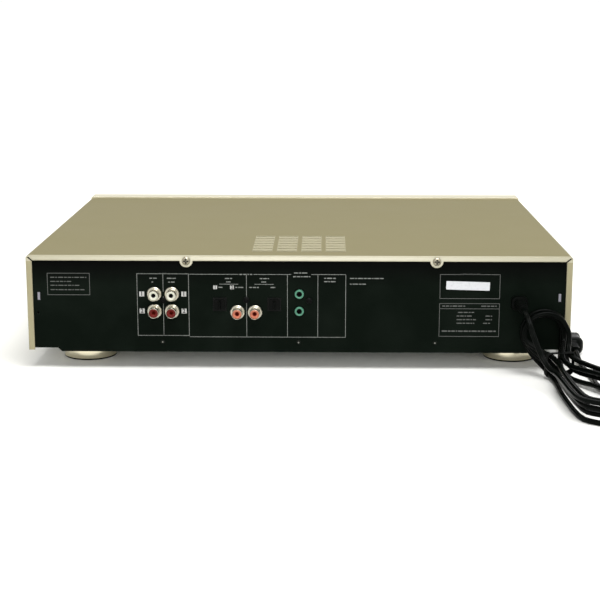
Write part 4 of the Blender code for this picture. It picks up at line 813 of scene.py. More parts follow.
# %% Cut and turn the screws
def cross_recess(head, depth, outward):
    """A bend function that presses a cross recess into a round head."""
    arm_half, arm_reach, wall = 0.13 * head, 0.58 * head, 0.05 * head

    def press(a, b, along):
        narrow, long = sorted((abs(a), abs(b)))
        inside = 1 - min(max((narrow - arm_half) / wall, 0), 1)
        inside *= 1 - min(max((long - arm_reach) / wall, 0), 1)
        crown = outward * along > 0.02 * head
        return a, b, along - outward * depth * inside * (1 - 0.35 * long / arm_reach) * crown

    return press


def screw_profile(head, height, length, outward, shank=0.0014):
    """Half outline of a round head on its shank, outward being 1 or -1 along the axis."""
    crown_steps = 18
    crown = []
    for i in range(1, crown_steps + 1):
        out = i / crown_steps
        crown.append((head * out, height * (1 - 0.55 * out**2 - 0.2 * out**8)))
    crown.append((head, height * 0.08))
    crown.append((head * 0.97, 0))
    half = [(0, height), *crown, (shank, 0), (shank, -length), (0, -length)]
    return [(radius, outward * along) for radius, along in half]


screw_zinc = layered(
    "screw_zinc", (0.40, 0.37, 0.28), 0.28, 1.0,
    sheen=(900, 0.22, 0.42), patches=(1500, (0.26, 0.235, 0.17)), bumps=(2600, 0.00002),
)
# Painted shade in the screws' hollows, such as their cross recesses.
darken_hollows(screw_zinc, 0.0022, 0.85, 0.5)

screw_black = layered(
    "screw_black", (0.003, 0.0034, 0.003), 0.38, Specular_IOR_Level=0.06,
    sheen=(900, 0.3, 0.44), patches=(1500, (0.007, 0.007, 0.0065), 0.6, 0.8), bumps=(2600, 0.00002),
)

cover_screws = {
    "rear_1": 1, "rear_2": 1, "front_left": 1, "rear_left": 1, "front_right": -1, "rear_right": -1,
}
for word, outward in cover_screws.items():
    node = f"cover_screw_{word}"
    low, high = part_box(node)
    axis = "Y" if word in ("rear_1", "rear_2") else "X"
    spot = (low + high) / 2
    head, height, length, recess = 0.0034, 0.0022, 0.0080, 0.0020
    spot["XYZ".index(axis)] += outward * (length - height) / 2
    profile = screw_profile(head, height, length, outward)
    press = cross_recess(head, recess, outward)
    turned_piece(
        f"screw_{word}", profile, spot, axis, screw_zinc,
        sides=64, bend=press, stands_for=(node,), slot="nickel",
    )
jack_screws = ("line_jack_screw", "coaxial_jack_screw", "control_jack_screw")
for node in jack_screws:
    low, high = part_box(node)
    spot = (low + high) / 2
    head, height, length, recess = 0.0026, 0.0016, 0.0080, 0.0009
    spot.y += (length - height) / 2
    turned_piece(
        f"{node}_black", screw_profile(head, height, length, 1), spot, "Y", screw_black,
        sides=64, bend=cross_recess(head, recess, 1), stands_for=(node,), slot="nickel",
    )
print(len(cover_screws) + len(jack_screws), "screws")

# %% [markdown]
# ## The phono sockets
#
# A phono socket is a nickelled tube round a coloured insulator: white for left, red for right,
# and orange for the coaxial digital pair. The pin of the plug goes into a hole in the middle. The
# tube and its collar are one turned piece here and the insulator another, because each has its
# own material. A lining inside the hole, black in the white sockets and dark red in the others,
# is painted shade.

# %% Turn the sockets
collar, collar_reach = 0.0058, 0.0016
tube, tube_wall, tube_reach = 0.00415, 0.00035, 0.0092
insert_face, pin_hole, pin_depth = 0.0074, 0.0018, 0.0058
jack_back, insert_root = 0.0070, 0.0012
collar_break, hole_break = 0.0004, 0.0003
outer_round, inner_round = 0.0002, 0.0001
tube_inner = tube - tube_wall
tube_profile = [
    (0, -jack_back),
    (collar, -jack_back),
    (collar, collar_reach - collar_break),
    (collar - collar_break, collar_reach),
    (tube + hole_break, collar_reach),
    (tube, collar_reach + hole_break),
    *arc((tube - outer_round, tube_reach - outer_round), outer_round, 0, 90, 3),
    *arc((tube_inner + inner_round, tube_reach - inner_round), inner_round, 90, 180, 2),
    (tube_inner, insert_root),
    (0, insert_root),
]
pin_floor = insert_face - pin_depth
insert_profile = [
    (0, insert_root),
    (tube_inner, insert_root),
    (tube_inner, insert_face - outer_round),
    (tube_inner - outer_round, insert_face),
    (pin_hole + hole_break, insert_face),
    (pin_hole, insert_face - hole_break),
    (pin_hole, pin_floor),
    (0, pin_floor),
]

sleeve_wall, sleeve_floor, sleeve_sink = 0.0003, 0.0010, 0.0005
sleeve = pin_hole - inner_round
hole_shade_profile = [
    (0, pin_floor),
    (sleeve, pin_floor),
    (sleeve, insert_face - sleeve_sink),
    (sleeve - sleeve_wall, insert_face - sleeve_sink - inner_round),
    (sleeve - sleeve_wall, pin_floor + sleeve_floor),
    (0, pin_floor + sleeve_floor),
]
hole_shade_finishes = {}
for name, colour, other in (
    ("shade_black", (0.003, 0.003, 0.003), (0.005, 0.005, 0.005)),
    ("shade_red", (0.20, 0.012, 0.005), (0.16, 0.01, 0.004)),
):
    hole_shade_finishes[name] = layered(
        name, colour, 0.6, Specular_IOR_Level=0.1,
        sheen=(400, 0.5, 0.7), patches=(900, other), bumps=(1800, 0.00002),
    )

socket_nickel = layered(
    "socket_nickel", (0.47, 0.445, 0.365), 0.24, 1.0,
    sheen=(1200, 0.2, 0.3), patches=(1200, (0.38, 0.36, 0.29), 0.5, 0.8), bumps=(2000, 0.00001),
)
# Painted shade in the sockets' hollows, round the tubes and inside them.
darken_hollows(socket_nickel, 0.0030, 0.75, 0.35)
insert_colours = {
    "insert_ivory": (0.86, 0.86, 0.74),
    "insert_red": (0.15, 0.008, 0.006),
    "insert_orange": (0.64, 0.20, 0.12),
}
insert_finishes = {}
for name, colour in insert_colours.items():
    other = tuple(0.8 * part for part in colour)
    insert_finishes[name] = layered(
        name, colour, 0.38, Specular_IOR_Level=0.2,
        sheen=(700, 0.3, 0.46), patches=(500, other), bumps=(2200, 0.00002),
    )

socket_inserts = {
    "line_jack_upper_1": "insert_ivory",
    "line_jack_upper_2": "insert_ivory",
    "line_jack_lower_1": "insert_red",
    "line_jack_lower_2": "insert_red",
    "coaxial_jack_1": "insert_orange",
    "coaxial_jack_2": "insert_orange",
}
for node, insert in socket_inserts.items():
    low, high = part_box(node)
    spot = ((low.x + high.x) / 2, panel_face_y, (low.z + high.z) / 2)
    turned_piece(
        f"{node}_tube", tube_profile, spot, "Y", socket_nickel, stands_for=(node,), slot="nickel"
    )
    plastic = insert_finishes[insert]
    turned_piece(f"{node}_insert", insert_profile, spot, "Y", plastic, slot="nickel")
    # The hole's lining is painted shade.
    shade = hole_shade_finishes["shade_black" if insert == "insert_ivory" else "shade_red"]
    turned_piece(f"{node}_sleeve", hole_shade_profile, spot, "Y", shade, slot="nickel")
print(len(socket_inserts), "phono sockets")

# %% [markdown]
# ## The small control sockets
#
# Two 3.5 mm sockets in green plastic share one moulding. Behind the panel they are a plain block,
# which nobody sees, and in front each is a round nose with a hole, whose black lining deep inside
# is painted shade.
# The block is made again here, with the noses as turned pieces on it.

# %% Mould the control sockets
nose, nose_reach, nose_bore = 0.0037, 0.0015, 0.0022
low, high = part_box("control_jacks")
socket_green = layered(
    "socket_green", (0.045, 0.19, 0.115), 0.34, Coat_Weight=0.1,
    sheen=(600, 0.28, 0.46), patches=(1400, (0.035, 0.15, 0.09), 0.5, 0.8), bumps=(2200, 0.00002),
)

block_depth, block_corner = 0.0110, 0.0008
block_back = low.y - panel_face_y
block_front = block_back + block_depth
boss_reach = -0.0013
control_x, control_z, control_step = -0.0006, 0.0561, 0.0142
boss_x, boss_z, boss_radius = -0.0085, 0.0578, 0.0030
block_size = (high.x - low.x, high.z - low.z, block_corner)
block_rows = [(block_back, *block_size), (block_front, *block_size)]
block_middle = ((low.x + high.x) / 2, panel_face_y, (low.z + high.z) / 2)
nose_overlap, nose_web = 0.0020, 0.0006
nose_round, bore_round = 0.0005, 0.0004
nose_root = block_front - nose_overlap
nose_floor = block_front + nose_web
nose_profile = [
    (0, nose_root),
    (nose, nose_root),
    *arc((nose - nose_round, nose_reach - nose_round), nose_round, 0, 90, 4),
    *arc((nose_bore + bore_round, nose_reach - bore_round), bore_round, 90, 180, 3),
    (nose_bore, nose_floor),
    (0, nose_floor),
]
nose_places = [
    (control_x, panel_face_y, control_z + side * control_step / 2) for side in (1, -1)
]
shape = bmesh.new()
add_rings(shape, rows_along_y(block_middle, block_rows, 3))
for spot in nose_places:
    add_rings(shape, turned(nose_profile, spot, "Y"))
boss_profile = [(0, nose_root), (boss_radius, nose_root)]
boss_profile += [(boss_radius, boss_reach), (0, boss_reach)]
add_rings(shape, turned(boss_profile, (boss_x, panel_face_y, boss_z), "Y"))
piece(
    "control_socket_block", shape, socket_green,
    stands_for=("control_jacks",), slot="green_plastic",
)

lining, lining_wall = nose_bore - 0.0001, 0.0004
lining_sink, lining_floor = 0.0008, 0.0010
hole_shade_lining = [
    (0, nose_floor),
    (lining, nose_floor),
    (lining, nose_reach - lining_sink),
    (lining - lining_wall, nose_reach - lining_floor),
    (lining - lining_wall, nose_floor + lining_floor),
    (0, nose_floor + lining_floor),
]
# A black lining deep in each hole, as painted shade.
for number, spot in enumerate(nose_places, 1):
    name = f"control_hole_shade_{number}"
    turned_piece(name, hole_shade_lining, spot, "Y", hole_shade_finishes["shade_black"], slot="green_plastic")
print("Control sockets stand", round(1000 * nose_reach, 1), "mm out of the panel")

# %% [markdown]
# ## The optical sockets' caps
#
# Each optical socket is kept dark and clean by a dust cap: a square flange, a stub that fills the
# socket and a rib to pull it by. The caps come out on their own joints, so these pieces ride on the
# bodies of the caps and not on the deck. Their edges are moulded round, which is what shows on so
# small and black a piece.

# %% Mould the caps
cap_flange, cap_depth, cap_stub, cap_grip = 0.0088, 0.0014, 0.0062, 0.0036
stub_gap, stub_corner, flange_corner = 0.0023, 0.0008, 0.0010
cap_break, cap_round = 0.0003, 0.0002
cap_black = layered(
    "cap_black", (0.002, 0.0024, 0.002), 0.3, Specular_IOR_Level=0.04,
    sheen=(700, 0.26, 0.4), patches=(900, (0.003, 0.0034, 0.003)), bumps=(2400, 0.00003),
)
for word in ("in", "out"):
    node = f"optical_{word}_cap"
    low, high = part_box(node)
    spot = ((low.x + high.x) / 2, low.y + cap_stub, (low.z + high.z) / 2)
    stub = cap_flange - stub_gap
    flange_sizes = (
        (-cap_stub, stub - 2 * cap_round, stub_corner - cap_round),
        (-cap_stub + cap_break, stub, stub_corner),
        (0, stub, stub_corner),
        (0, cap_flange - cap_round, flange_corner - cap_round / 2),
        (cap_round, cap_flange, flange_corner),
        (cap_depth - cap_break, cap_flange, flange_corner),
        (cap_depth, cap_flange - cap_break - cap_round, flange_corner - cap_round / 2),
    )
    flange_rows = [(along, size, size, corner) for along, size, corner in flange_sizes]
    grip_rows = [
        (cap_depth - 0.0005, 0.0018, 0.0070, 0.0006),
        (cap_depth + 0.0002, 0.0015, 0.0068, 0.0006),
        (cap_depth + cap_grip - 0.0005, 0.0013, 0.0062, 0.0005),
        (cap_depth + cap_grip, 0.0008, 0.0056, 0.0003),
    ]
    shape = bmesh.new()
    add_rings(shape, rows_along_y(spot, flange_rows))
    add_rings(shape, rows_along_y(spot, grip_rows))
    piece(f"dust_cap_{word}", shape, cap_black, body=node, stands_for=(node,), slot="black_plastic")
print("Two dust caps,", round(1000 * cap_flange, 1), "mm square")

# %% [markdown]
# ## Printing on the panel
#
# The panel is screen printed in pale grey: frames round each group of sockets, small white fields
# with a number on them, and lines of small print, which are short plain dashes here. Ink lies on
# top of the coating, so each line is a very thin closed slab that stands a few hundredths of a
# millimetre out of the panel, and not an image. The boxes near both ends of the panel are printed
# more thinly, so their ink shows more of the black.

# %% Mix the inks and lay the lines
ink_stand, ink_sink = 0.00005, 0.00010
ink_grey = layered(
    "ink_grey", (0.19, 0.20, 0.185), 0.6,
    sheen=(500, 0.5, 0.7), patches=(1200, (0.11, 0.12, 0.11), 0.45, 0.6), bumps=(2400, 0.00001),
)
thin_ink, thin_ends = (0.07, 0.074, 0.068), ((0.150, 0.160), (-0.105, -0.110))
for start, end in thin_ends:
    tint_beyond(ink_grey, "X", start, end, thin_ink)

ink_white = layered(
    "ink_white", (0.47, 0.47, 0.455), 0.55,
    sheen=(500, 0.46, 0.64), patches=(900, (0.38, 0.38, 0.365)), bumps=(2400, 0.00001),
)

ink_black = layered(
    "ink_black", (0.012, 0.012, 0.012), 0.5,
    sheen=(500, 0.42, 0.6), patches=(1500, (0.03, 0.03, 0.03)), bumps=(2400, 0.00001),
)

print_back, print_front = panel_face_y - ink_sink, panel_face_y + ink_stand
mm = 0.001


def add_slab(shape, corners, back, front):
    """A thin closed slab of print between two places on Y, over a flat outline in X and Z."""
    add_rings(shape, [[(x, y, z) for x, z in corners] for y in (back, front)])


def add_bar(shape, left, low, right, high):
    """A bar of print on the rear panel."""
    add_slab(shape, oblong(left, low, right, high), print_back, print_front)


def add_frame(shape, left, right, low, high, line):
    """A rectangular ring of print on the rear panel, whose outer edge has these sides."""
    rings = []
    for less, y in ((0, print_back), (0, print_front), (line, print_front), (line, print_back)):
        corners = oblong(left + less, low + less, right - less, high - less)
        rings.append([(x, y, z) for x, z in corners])
    add_rings(shape, rings, closed=True)


frame_line = 0.42 * mm
rear_lines = bmesh.new()
rear_frames = (
    (168.9, 203.5, 61.8, 80.0),
    (88.7, 130.9, 28.2, 79.8),
    (-162.4, -113.9, 59.8, 80.0),
    (-162.5, -113.8, 28.4, 56.1),
)
for left, right, low, high in rear_frames:
    add_frame(rear_lines, left * mm, right * mm, low * mm, high * mm, frame_line)
half = frame_line / 2
standing_lines = [(x, 27.4, 79.4) for x in (42.1, 9.0, -15.6, -38.1)]
standing_lines += [(109.6, 28.2, 60.9), (109.6, 64.9, 79.8)]
for x, low, high in standing_lines:
    add_bar(rear_lines, x * mm - half, low * mm, x * mm + half, high * mm)
lying_lines = (
    (-38.1, 88.7, 27.4),
    (48.5, 88.7, 79.3),
    (9.0, 36.5, 79.3),
    (-15.6, -10.4, 79.4),
    (6.0, 9.0, 79.4),
    (-38.1, -15.6, 79.4),
    (48.7, 64.0, 71.2),
    (20.1, 35.4, 71.2),
    (-162.4, -113.9, 51.6),
)
for left, right, z in lying_lines:
    add_bar(rear_lines, left * mm, z * mm - half, right * mm, z * mm + half)

# %% [markdown]
# ## Dashes for the small print
#
# A line of small print is a row of words of uneven length. The same few word lengths are dealt
# out in turn, so that the rows differ from each other without any random number.

# %% Deal out the dashes
word_lengths = (3.4, 1.6, 4.2, 2.2, 2.8, 1.2, 3.8)
word_gap = 0.7
dealt = 0


def add_dashes(shape, left, right, z, tall):
    """A row of dashes from the reader's left to right, which from behind is from high X to low."""
    global dealt
    start = left
    while start - right > 1:
        end = max(start - word_lengths[dealt % len(word_lengths)], right)
        add_bar(shape, end * mm, (z - tall / 2) * mm, start * mm, (z + tall / 2) * mm)
        start = end - word_gap
        dealt += 1


small_print = bmesh.new()
print_rows = (
    (200.9, 171.5, 76.4, 0.7),
    (200.9, 184.0, 73.0, 0.7),
    (200.9, 177.0, 69.8, 0.7),
    (200.9, 173.0, 66.2, 0.7),
    (112.6, 106.6, 79.7, 0.8),
    (120.4, 114.6, 75.9, 0.8),
    (118.8, 116.0, 72.8, 0.8),
    (106.4, 99.0, 75.9, 0.8),
    (105.4, 100.2, 72.8, 0.8),
    (47.6, 37.4, 79.3, 0.8),
    (59.4, 53.6, 75.9, 0.8),
    (58.4, 54.8, 73.1, 0.8),
    (31.4, 23.4, 75.9, 0.8),
    (30.0, 25.0, 73.1, 0.8),
    (64.8, 60.0, 68.6, 0.8),
    (51.2, 44.4, 68.6, 0.8),
    (39.8, 31.0, 68.6, 0.8),
    (22.6, 18.0, 68.6, 0.8),
    (3.6, -8.2, 80.6, 0.8),
    (4.4, -9.4, 77.6, 0.8),
    (-20.6, -31.0, 76.3, 0.8),
    (-20.6, -31.4, 73.6, 0.8),
    (-41.4, -68.6, 76.3, 0.7),
    (-41.4, -55.0, 71.6, 0.7),
    (-130.4, -146.0, 80.0, 0.8),
    (-116.2, -135.6, 53.8, 0.9),
    (-147.6, -160.4, 53.8, 0.9),
    (-129.0, -142.0, 48.6, 0.8),
    (-128.0, -140.6, 45.6, 0.8),
    (-151.4, -156.6, 45.6, 0.8),
    (-128.0, -143.6, 42.6, 0.8),
    (-151.4, -156.6, 42.6, 0.8),
    (-128.0, -142.4, 39.6, 0.8),
    (-149.4, -156.6, 39.6, 0.8),
    (-116.2, -160.0, 33.0, 1.1),
)
for row in print_rows:
    add_dashes(small_print, *row)
piece("rear_frames", rear_lines, ink_grey, slot="sheet_black")
piece("rear_small_print", small_print, ink_grey, slot="sheet_black")
print(len(print_rows), "rows of dashes")

# %% [markdown]
# ## Numbered fields
#
# Beside the sockets stand small white fields, and plain numbers on them tell the channels apart.
# Blender's own font makes a digit as a text curve, which is turned into a mesh and laid on its
# field, mirrored so that it reads from behind.

# %% Print the numbered fields
def add_text(shape, text, size, middle, x_way, face_way):
    """Adds a short text as thin closed letters, centred on a point and facing along Y."""
    curve = bpy.data.curves.new("text", "FONT")
    curve.body, curve.size, curve.extrude = text, size, ink_stand
    curve.align_x, curve.align_y = "CENTER", "CENTER"
    curve.resolution_u, curve.offset = 3, 0.03 * size
    holder = bpy.data.objects.new("text", curve)
    mesh = bpy.data.meshes.new_from_object(holder)
    axes = Matrix(((x_way, 0, 0), (0, 0, face_way), (0, 1, 0))).to_4x4()
    mesh.transform(Matrix.Translation(middle) @ axes)
    shape.from_mesh(mesh)
    bpy.data.objects.remove(holder)
    bpy.data.curves.remove(curve)
    bpy.data.meshes.remove(mesh)


fields = bmesh.new()
digits = bmesh.new()
field_places = (
    (127.0, 62.9, 4.0, "1"),
    (92.9, 62.9, 4.0, "1"),
    (127.0, 48.8, 4.0, "2"),
    (92.9, 48.8, 4.0, "2"),
    (67.4, 68.6, 3.0, "1"),
    (53.8, 68.6, 3.0, "2"),
)
digit_share = 1.2
for x, z, size, text in field_places:
    left, right = (x - size / 2) * mm, (x + size / 2) * mm
    add_bar(fields, left, (z - size / 2) * mm, right, (z + size / 2) * mm)
    spot = (x * mm, panel_face_y + 2 * ink_stand, z * mm)
    add_text(digits, text, digit_share * size * mm, spot, -1, 1)
piece("field_squares", fields, ink_white, slot="sheet_black")
piece("field_digits", digits, ink_black, slot="sheet_black")

# %% [markdown]
# ## The blank sticker
#
# A blank sticker of white paper sits a little crooked in the upper frame on the right.

# %% Stick on the blank label
sticker_paper = layered(
    "sticker_paper", (0.60, 0.61, 0.63), 0.45,
    sheen=(300, 0.38, 0.55), patches=(600, (0.50, 0.51, 0.53), 0.5, 0.8, 5),
    bumps=(1500, 0.00002, 5),
)
sticker = bmesh.new()
sticker_wide, sticker_tall, sticker_corner = 35.1 * mm, 6.9 * mm, 0.5 * mm
sticker_x, sticker_z, sticker_turn = -136.6 * mm, 70.5 * mm, math.radians(1.6)
level, lean = math.cos(sticker_turn), math.sin(sticker_turn)
corners = []
for across, up in rounded(sticker_wide, sticker_tall, sticker_corner, 3):
    corners.append((sticker_x + across * level - up * lean, sticker_z + across * lean + up * level))
add_slab(sticker, corners, print_back, panel_face_y + 2 * ink_stand)
piece("blank_sticker", sticker, sticker_paper, slot="sheet_black")
print("Sticker", round(1000 * sticker_wide, 1), "x", round(1000 * sticker_tall, 1), "mm")

# %% [markdown]
# ## The cover's lacquer
#
# The cover is one folded steel sheet in champagne lacquer: fine flakes in a warm olive-gold base,
# satin and not glossy. The flakes scatter light in all directions, so the base colour alone makes
# the tone, with hardly any reflection. A very fine noise makes the flakes, a slow one the sheet's
# slight unevenness, and soft_edges rounds the folds and paints a pale highlight along them. The
# lips at the back and the screw tabs are painted nearly white, as a painted highlight, by masks
# on the piece's own X, Y and Z, and a long mask on X fades that painted highlight towards both
# ends of the lip. A band on Y paints the rear fold lighter, as a painted highlight too.

# %% Lacquer the cover
def tint_inside(finish, spans, other, blur=0.0004):
    """Tints where all these spans hold: axis, low and high end, and maybe a blur of its own."""
    total = None
    for axis, low, high, *own in spans:
        soft = own[0] if own else blur
        for start, end in ((low - soft, low), (high + soft, high)):
            edge = band(finish, axis, start, end)
            if total is not None:
                product = add_node(finish, "Math", operation="MULTIPLY")
                join(finish, total, product.inputs[0])
                join(finish, edge, product.inputs[1])
                edge = product.outputs["Value"]
            total = edge
    tint(finish, total, other)


cover_rear_y, fold_fade = 0.1757, 0.0015
lip_highlight, lip_highlight_ends, rear_fold_highlight = (0.64, 0.61, 0.485), (0.47, 0.445, 0.335), (0.33, 0.30, 0.19)
cover_lacquer = new_finish("cover_lacquer", (0.208, 0.184, 0.093), 0.4)
shader_input(cover_lacquer, "Specular IOR Level").default_value = 0.015
shader_input(cover_lacquer, "Specular Tint").default_value = (0.75, 0.7, 0.5, 1)
uneven_sheen(cover_lacquer, 25, 0.39, 0.41)
mottle(cover_lacquer, 2600, (0.228, 0.202, 0.106), 0.5, 0.75, detail=2)
# Painted highlight: the rear fold and everything behind it are painted lighter.
tint_beyond(cover_lacquer, "Y", cover_rear_y - fold_fade, cover_rear_y, rear_fold_highlight)
lip_fold, lip_z, tab_z, corner_x = 0.0022, 0.0905, 0.0840, 0.2150
upper_lip = (("Y", cover_rear_y - lip_fold, 1), ("Z", lip_z, 1))
screw_tabs = (("Y", cover_rear_y - lip_fold, 1), ("Z", tab_z, lip_z), ("X", -corner_x, corner_x))
lip_blur, lip_fade = 0.0006, 0.150
# Painted highlights on the upper lip and the screw tabs, then fading towards both ends of the lip.
for part in (upper_lip, screw_tabs):
    tint_inside(cover_lacquer, part, lip_highlight, lip_blur)
for end_span in (("X", corner_x, 1, lip_fade), ("X", -1, -corner_x, lip_fade)):
    tint_inside(cover_lacquer, (*upper_lip, end_span), lip_highlight_ends, lip_blur)

# %% [markdown]
# Over the transformer and the supply the cover is punched with slots in four columns. Each column
# gets a pale field, a painted highlight for the light that the punched slots catch.

# %% Pale fields round the vent slots
vent_columns, vent_step, vent_half = 4, 0.0201, 0.0080
vent_field_y = (0.0785, 0.1540)
for column in range(vent_columns):
    x = (column - (vent_columns - 1) / 2) * vent_step
    field = (("X", x - vent_half, x + vent_half), ("Y", *vent_field_y))
    # Painted highlight over each column of slots.
    tint_inside(cover_lacquer, field, (0.355, 0.325, 0.21))
# The pale edge colour paints a highlight along the cover's folds.
soft_edges(cover_lacquer, 0.0018, (0.42, 0.39, 0.26))
grain(cover_lacquer, 1600, 0.00002)
dress(cover_lacquer, "top_cover")

# %% [markdown]
# ## The rear panel's black
#
# The panel is coated steel sheet, nearly black with a faint green in it and finely wrinkled, so
# that it hardly reflects the room. Towards its top, under the cover's lip, it is painted blacker,
# as painted shade, and the middles of its stamped dimples get small painted highlights.

# %% Coat the panel
dimple_places = ((0.1108, 0.0230), (0.0, 0.0230), (-0.1108, 0.0230))
panel_black = new_finish("panel_black", (0.0022, 0.0042, 0.0026), 0.55, Specular_IOR_Level=0.022)
uneven_sheen(panel_black, 90, 0.5, 0.62)
mottle(panel_black, 24, (0.0045, 0.0072, 0.005))
shade_low, shade_high = 0.070, 0.088
# Painted shade: blacker towards the top, under the cover's lip.
tint_beyond(panel_black, "Z", shade_low, shade_high, (0.0012, 0.0014, 0.0012))
glint_edge, glint_core = 0.0010, 0.0006
# Each dimple's middle gets a small pale spot, a painted highlight.
for x, z in dimple_places:
    near = add_node(panel_black, "VectorMath", operation="DISTANCE")
    own_place(panel_black, near)
    near.inputs[1].default_value = (x, panel_face_y, z)
    glint = ranged(panel_black, near.outputs["Value"], glint_edge, glint_core)
    tint(panel_black, glint, (0.20, 0.20, 0.18))
soft_edges(panel_black, 0.0004, (0.03, 0.032, 0.028))
grain(panel_black, 1400, 0.00004, detail=3)
dress(panel_black, "rear_panel")

# %% [markdown]
# ## The chassis
#
# The chassis pan and the mechanism's frame are galvanised steel: bright grey with slow patches,
# where the zinc set sooner or later. The pan's tongues come through slots in the rear panel and
# are duller than the rest, so a band on Y tints what lies that far back.

# %% Galvanise the chassis
galvanised = layered(
    "galvanised", (0.62, 0.63, 0.62), 0.42, 1.0,
    sheen=(120, 0.3, 0.55), patches=(200, (0.54, 0.55, 0.55), 0.45, 0.6),
    edges=(0.0003,), bumps=(900, 0.00003),
)
tongue_start, tongue_full = 0.1700, 0.1705
tint_beyond(galvanised, "Y", tongue_start, tongue_full, (0.22, 0.215, 0.245))
dress(galvanised, "chassis_pan", "mechanism_frame", "cartridge_carrier")

# %% [markdown]
# ## The front's brushed metal
#
# The front is a moulded shell faced with brushed aluminium in champagne. Brushing runs from side
# to side, so its scratches are noise that is stretched a hundredfold along X. The scratches change
# the roughness and tilt the light, and hardly change the colour.

# %% Brush the front
brushed, worn_champagne = (0.01, 1, 1), (0.72, 0.67, 0.52)
front_metal = layered(
    "front_metal", (0.63, 0.585, 0.42), 0.3, 0.4, Specular_IOR_Level=0.1, lie=brushed,
    sheen=(2600, 0.27, 0.34), patches=(1800, (0.59, 0.545, 0.39), 0.5, 0.8),
    edges=(0.0008, worn_champagne), bumps=(3000, 0.00001),
)
dress(front_metal, "front_panel")
front_face_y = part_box("front_panel")[0].y
print("The front's face lies at Y", round(1000 * front_face_y, 1), "mm")

# %% [markdown]
# ## The keys
#
# Six keys stand 2 mm out of the face, and a flange behind the face holds each of them in. A key is
# slightly crowned and its rim is rolled, and both show as a soft bright line round it. Each is a
# stack of rounded outlines. The signs on the keys are the plain ones that every player of discs
# or tapes has: a triangle, two bars, a square, a dot. Each rides on the key that carries it.

# %% Mould the keys
key_crown, key_rim = 0.0003, 0.0012
key_roll, least_corner = 0.0006, 0.0004
flange_edge, flange_sheet = 0.0012, 0.0010
key_satin = layered(
    "key_satin", (0.64, 0.595, 0.44), 0.3, 0.5, Specular_IOR_Level=0.2,
    sheen=(900, 0.26, 0.34), patches=(5200, (0.60, 0.555, 0.41), 0.5, 0.8),
    edges=(0.0003, worn_champagne), bumps=(5200, 0.000002),
)
key_names = (
    "power_button", "eject_button", "record_button", "stop_button", "pause_button", "play_button",
)


def key_place(node):
    """Middle of a key's face, and its width and height without the flange."""
    low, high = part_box(node)
    middle = ((low.x + high.x) / 2, low.y, (low.z + high.z) / 2)
    return middle, high.x - low.x - 2 * flange_edge, high.z - low.z - 2 * flange_edge


def key_rows(width, height, depth):
    rows = []
    for inset, along in ((0.45, -key_crown), (0.30, -0.9 * key_crown), (0.16, -0.6 * key_crown)):
        less = inset * height
        corner = max(key_rim - less / 2, least_corner)
        rows.append((along, width - 2 * less, height - 2 * less, corner))
    for turn in range(0, 91, 15):
        less = key_roll * (1 - math.sin(math.radians(turn)))
        along = key_roll * (1 - math.cos(math.radians(turn)))
        rows.append((along, width - 2 * less, height - 2 * less, key_rim - less))
    seat = depth - flange_sheet
    wide, tall = width + 2 * flange_edge, height + 2 * flange_edge
    rows += [(seat, width, height, key_rim), (seat, wide, tall, key_rim)]
    rows.append((depth, wide, tall, key_rim))
    return rows


for node in key_names:
    middle, width, height = key_place(node)
    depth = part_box(node)[1].y - middle[1]
    rings = rows_along_y(middle, key_rows(width, height, depth), 6)
    ring_piece(
        f"{node}_cap", rings, key_satin, body=node, stands_for=(node,), slot="champagne_plastic"
    )
print(len(key_names), "keys")

# %% [markdown]
# ## The signs on the keys
#
# Each sign is an outline in a square of size 1, scaled to the key's height and printed as a thin
# slab on the crown. From the front the reader's right is +X, because the front faces -Y.

# %% Print the signs
def round_sign(radius, sides=24):
    return arc((0, 0), radius, 0, 360, sides)[:-1]


def arc_sign(radius, line, start, end, steps=24):
    """A bent bar between two angles."""
    inner = arc((0, 0), radius - line, start, end, steps)
    return arc((0, 0), radius, start, end, steps) + inner[::-1]


key_signs = {
    "power_button": [arc_sign(0.34, 0.09, 125, 415), oblong(-0.045, 0.02, 0.045, 0.42)],
    "eject_button": [
        [(-0.42, -0.05), (0.42, -0.05), (0, 0.42)],
        oblong(-0.42, -0.34, 0.42, -0.18),
    ],
    "record_button": [round_sign(0.34)],
    "stop_button": [oblong(-0.32, -0.32, 0.32, 0.32)],
    "pause_button": [oblong(-0.32, -0.34, -0.1, 0.34), oblong(0.1, -0.34, 0.32, 0.34)],
    "play_button": [[(-0.32, -0.40), (0.42, 0), (-0.32, 0.40)]],
}
sign_share = 0.48
sign_red = layered(
    "sign_red", (0.45, 0.02, 0.02), 0.45,
    sheen=(900, 0.38, 0.55), patches=(1500, (0.36, 0.015, 0.015)), bumps=(2400, 0.00001),
)
for node, outlines in key_signs.items():
    middle, width, height = key_place(node)
    size, crown = sign_share * height, middle[1] - key_crown
    shape = bmesh.new()
    for outline in outlines:
        corners = [(middle[0] + size * a, middle[2] + size * b) for a, b in outline]
        add_slab(shape, corners, crown + ink_sink, crown - ink_stand)
    finish = sign_red if node == "record_button" else ink_black
    piece(f"{node}_sign", shape, finish, body=node, slot="champagne_plastic")
print(len(key_signs), "signs")

# %% [markdown]
# ## The jog dial
#
# The large dial is turned from aluminium, knurled round its rim for grip, with a finger dimple near
# the edge. The knurl is a ripple on the radius, and the dimple a bowl pressed into the face, and
# both come from the bend function, so they are real shape. The face's fine turning marks are rings
# round the dial's own axis, from a Wave texture.

# %% Turn the jog dial
turned_champagne = (0.62, 0.575, 0.435)


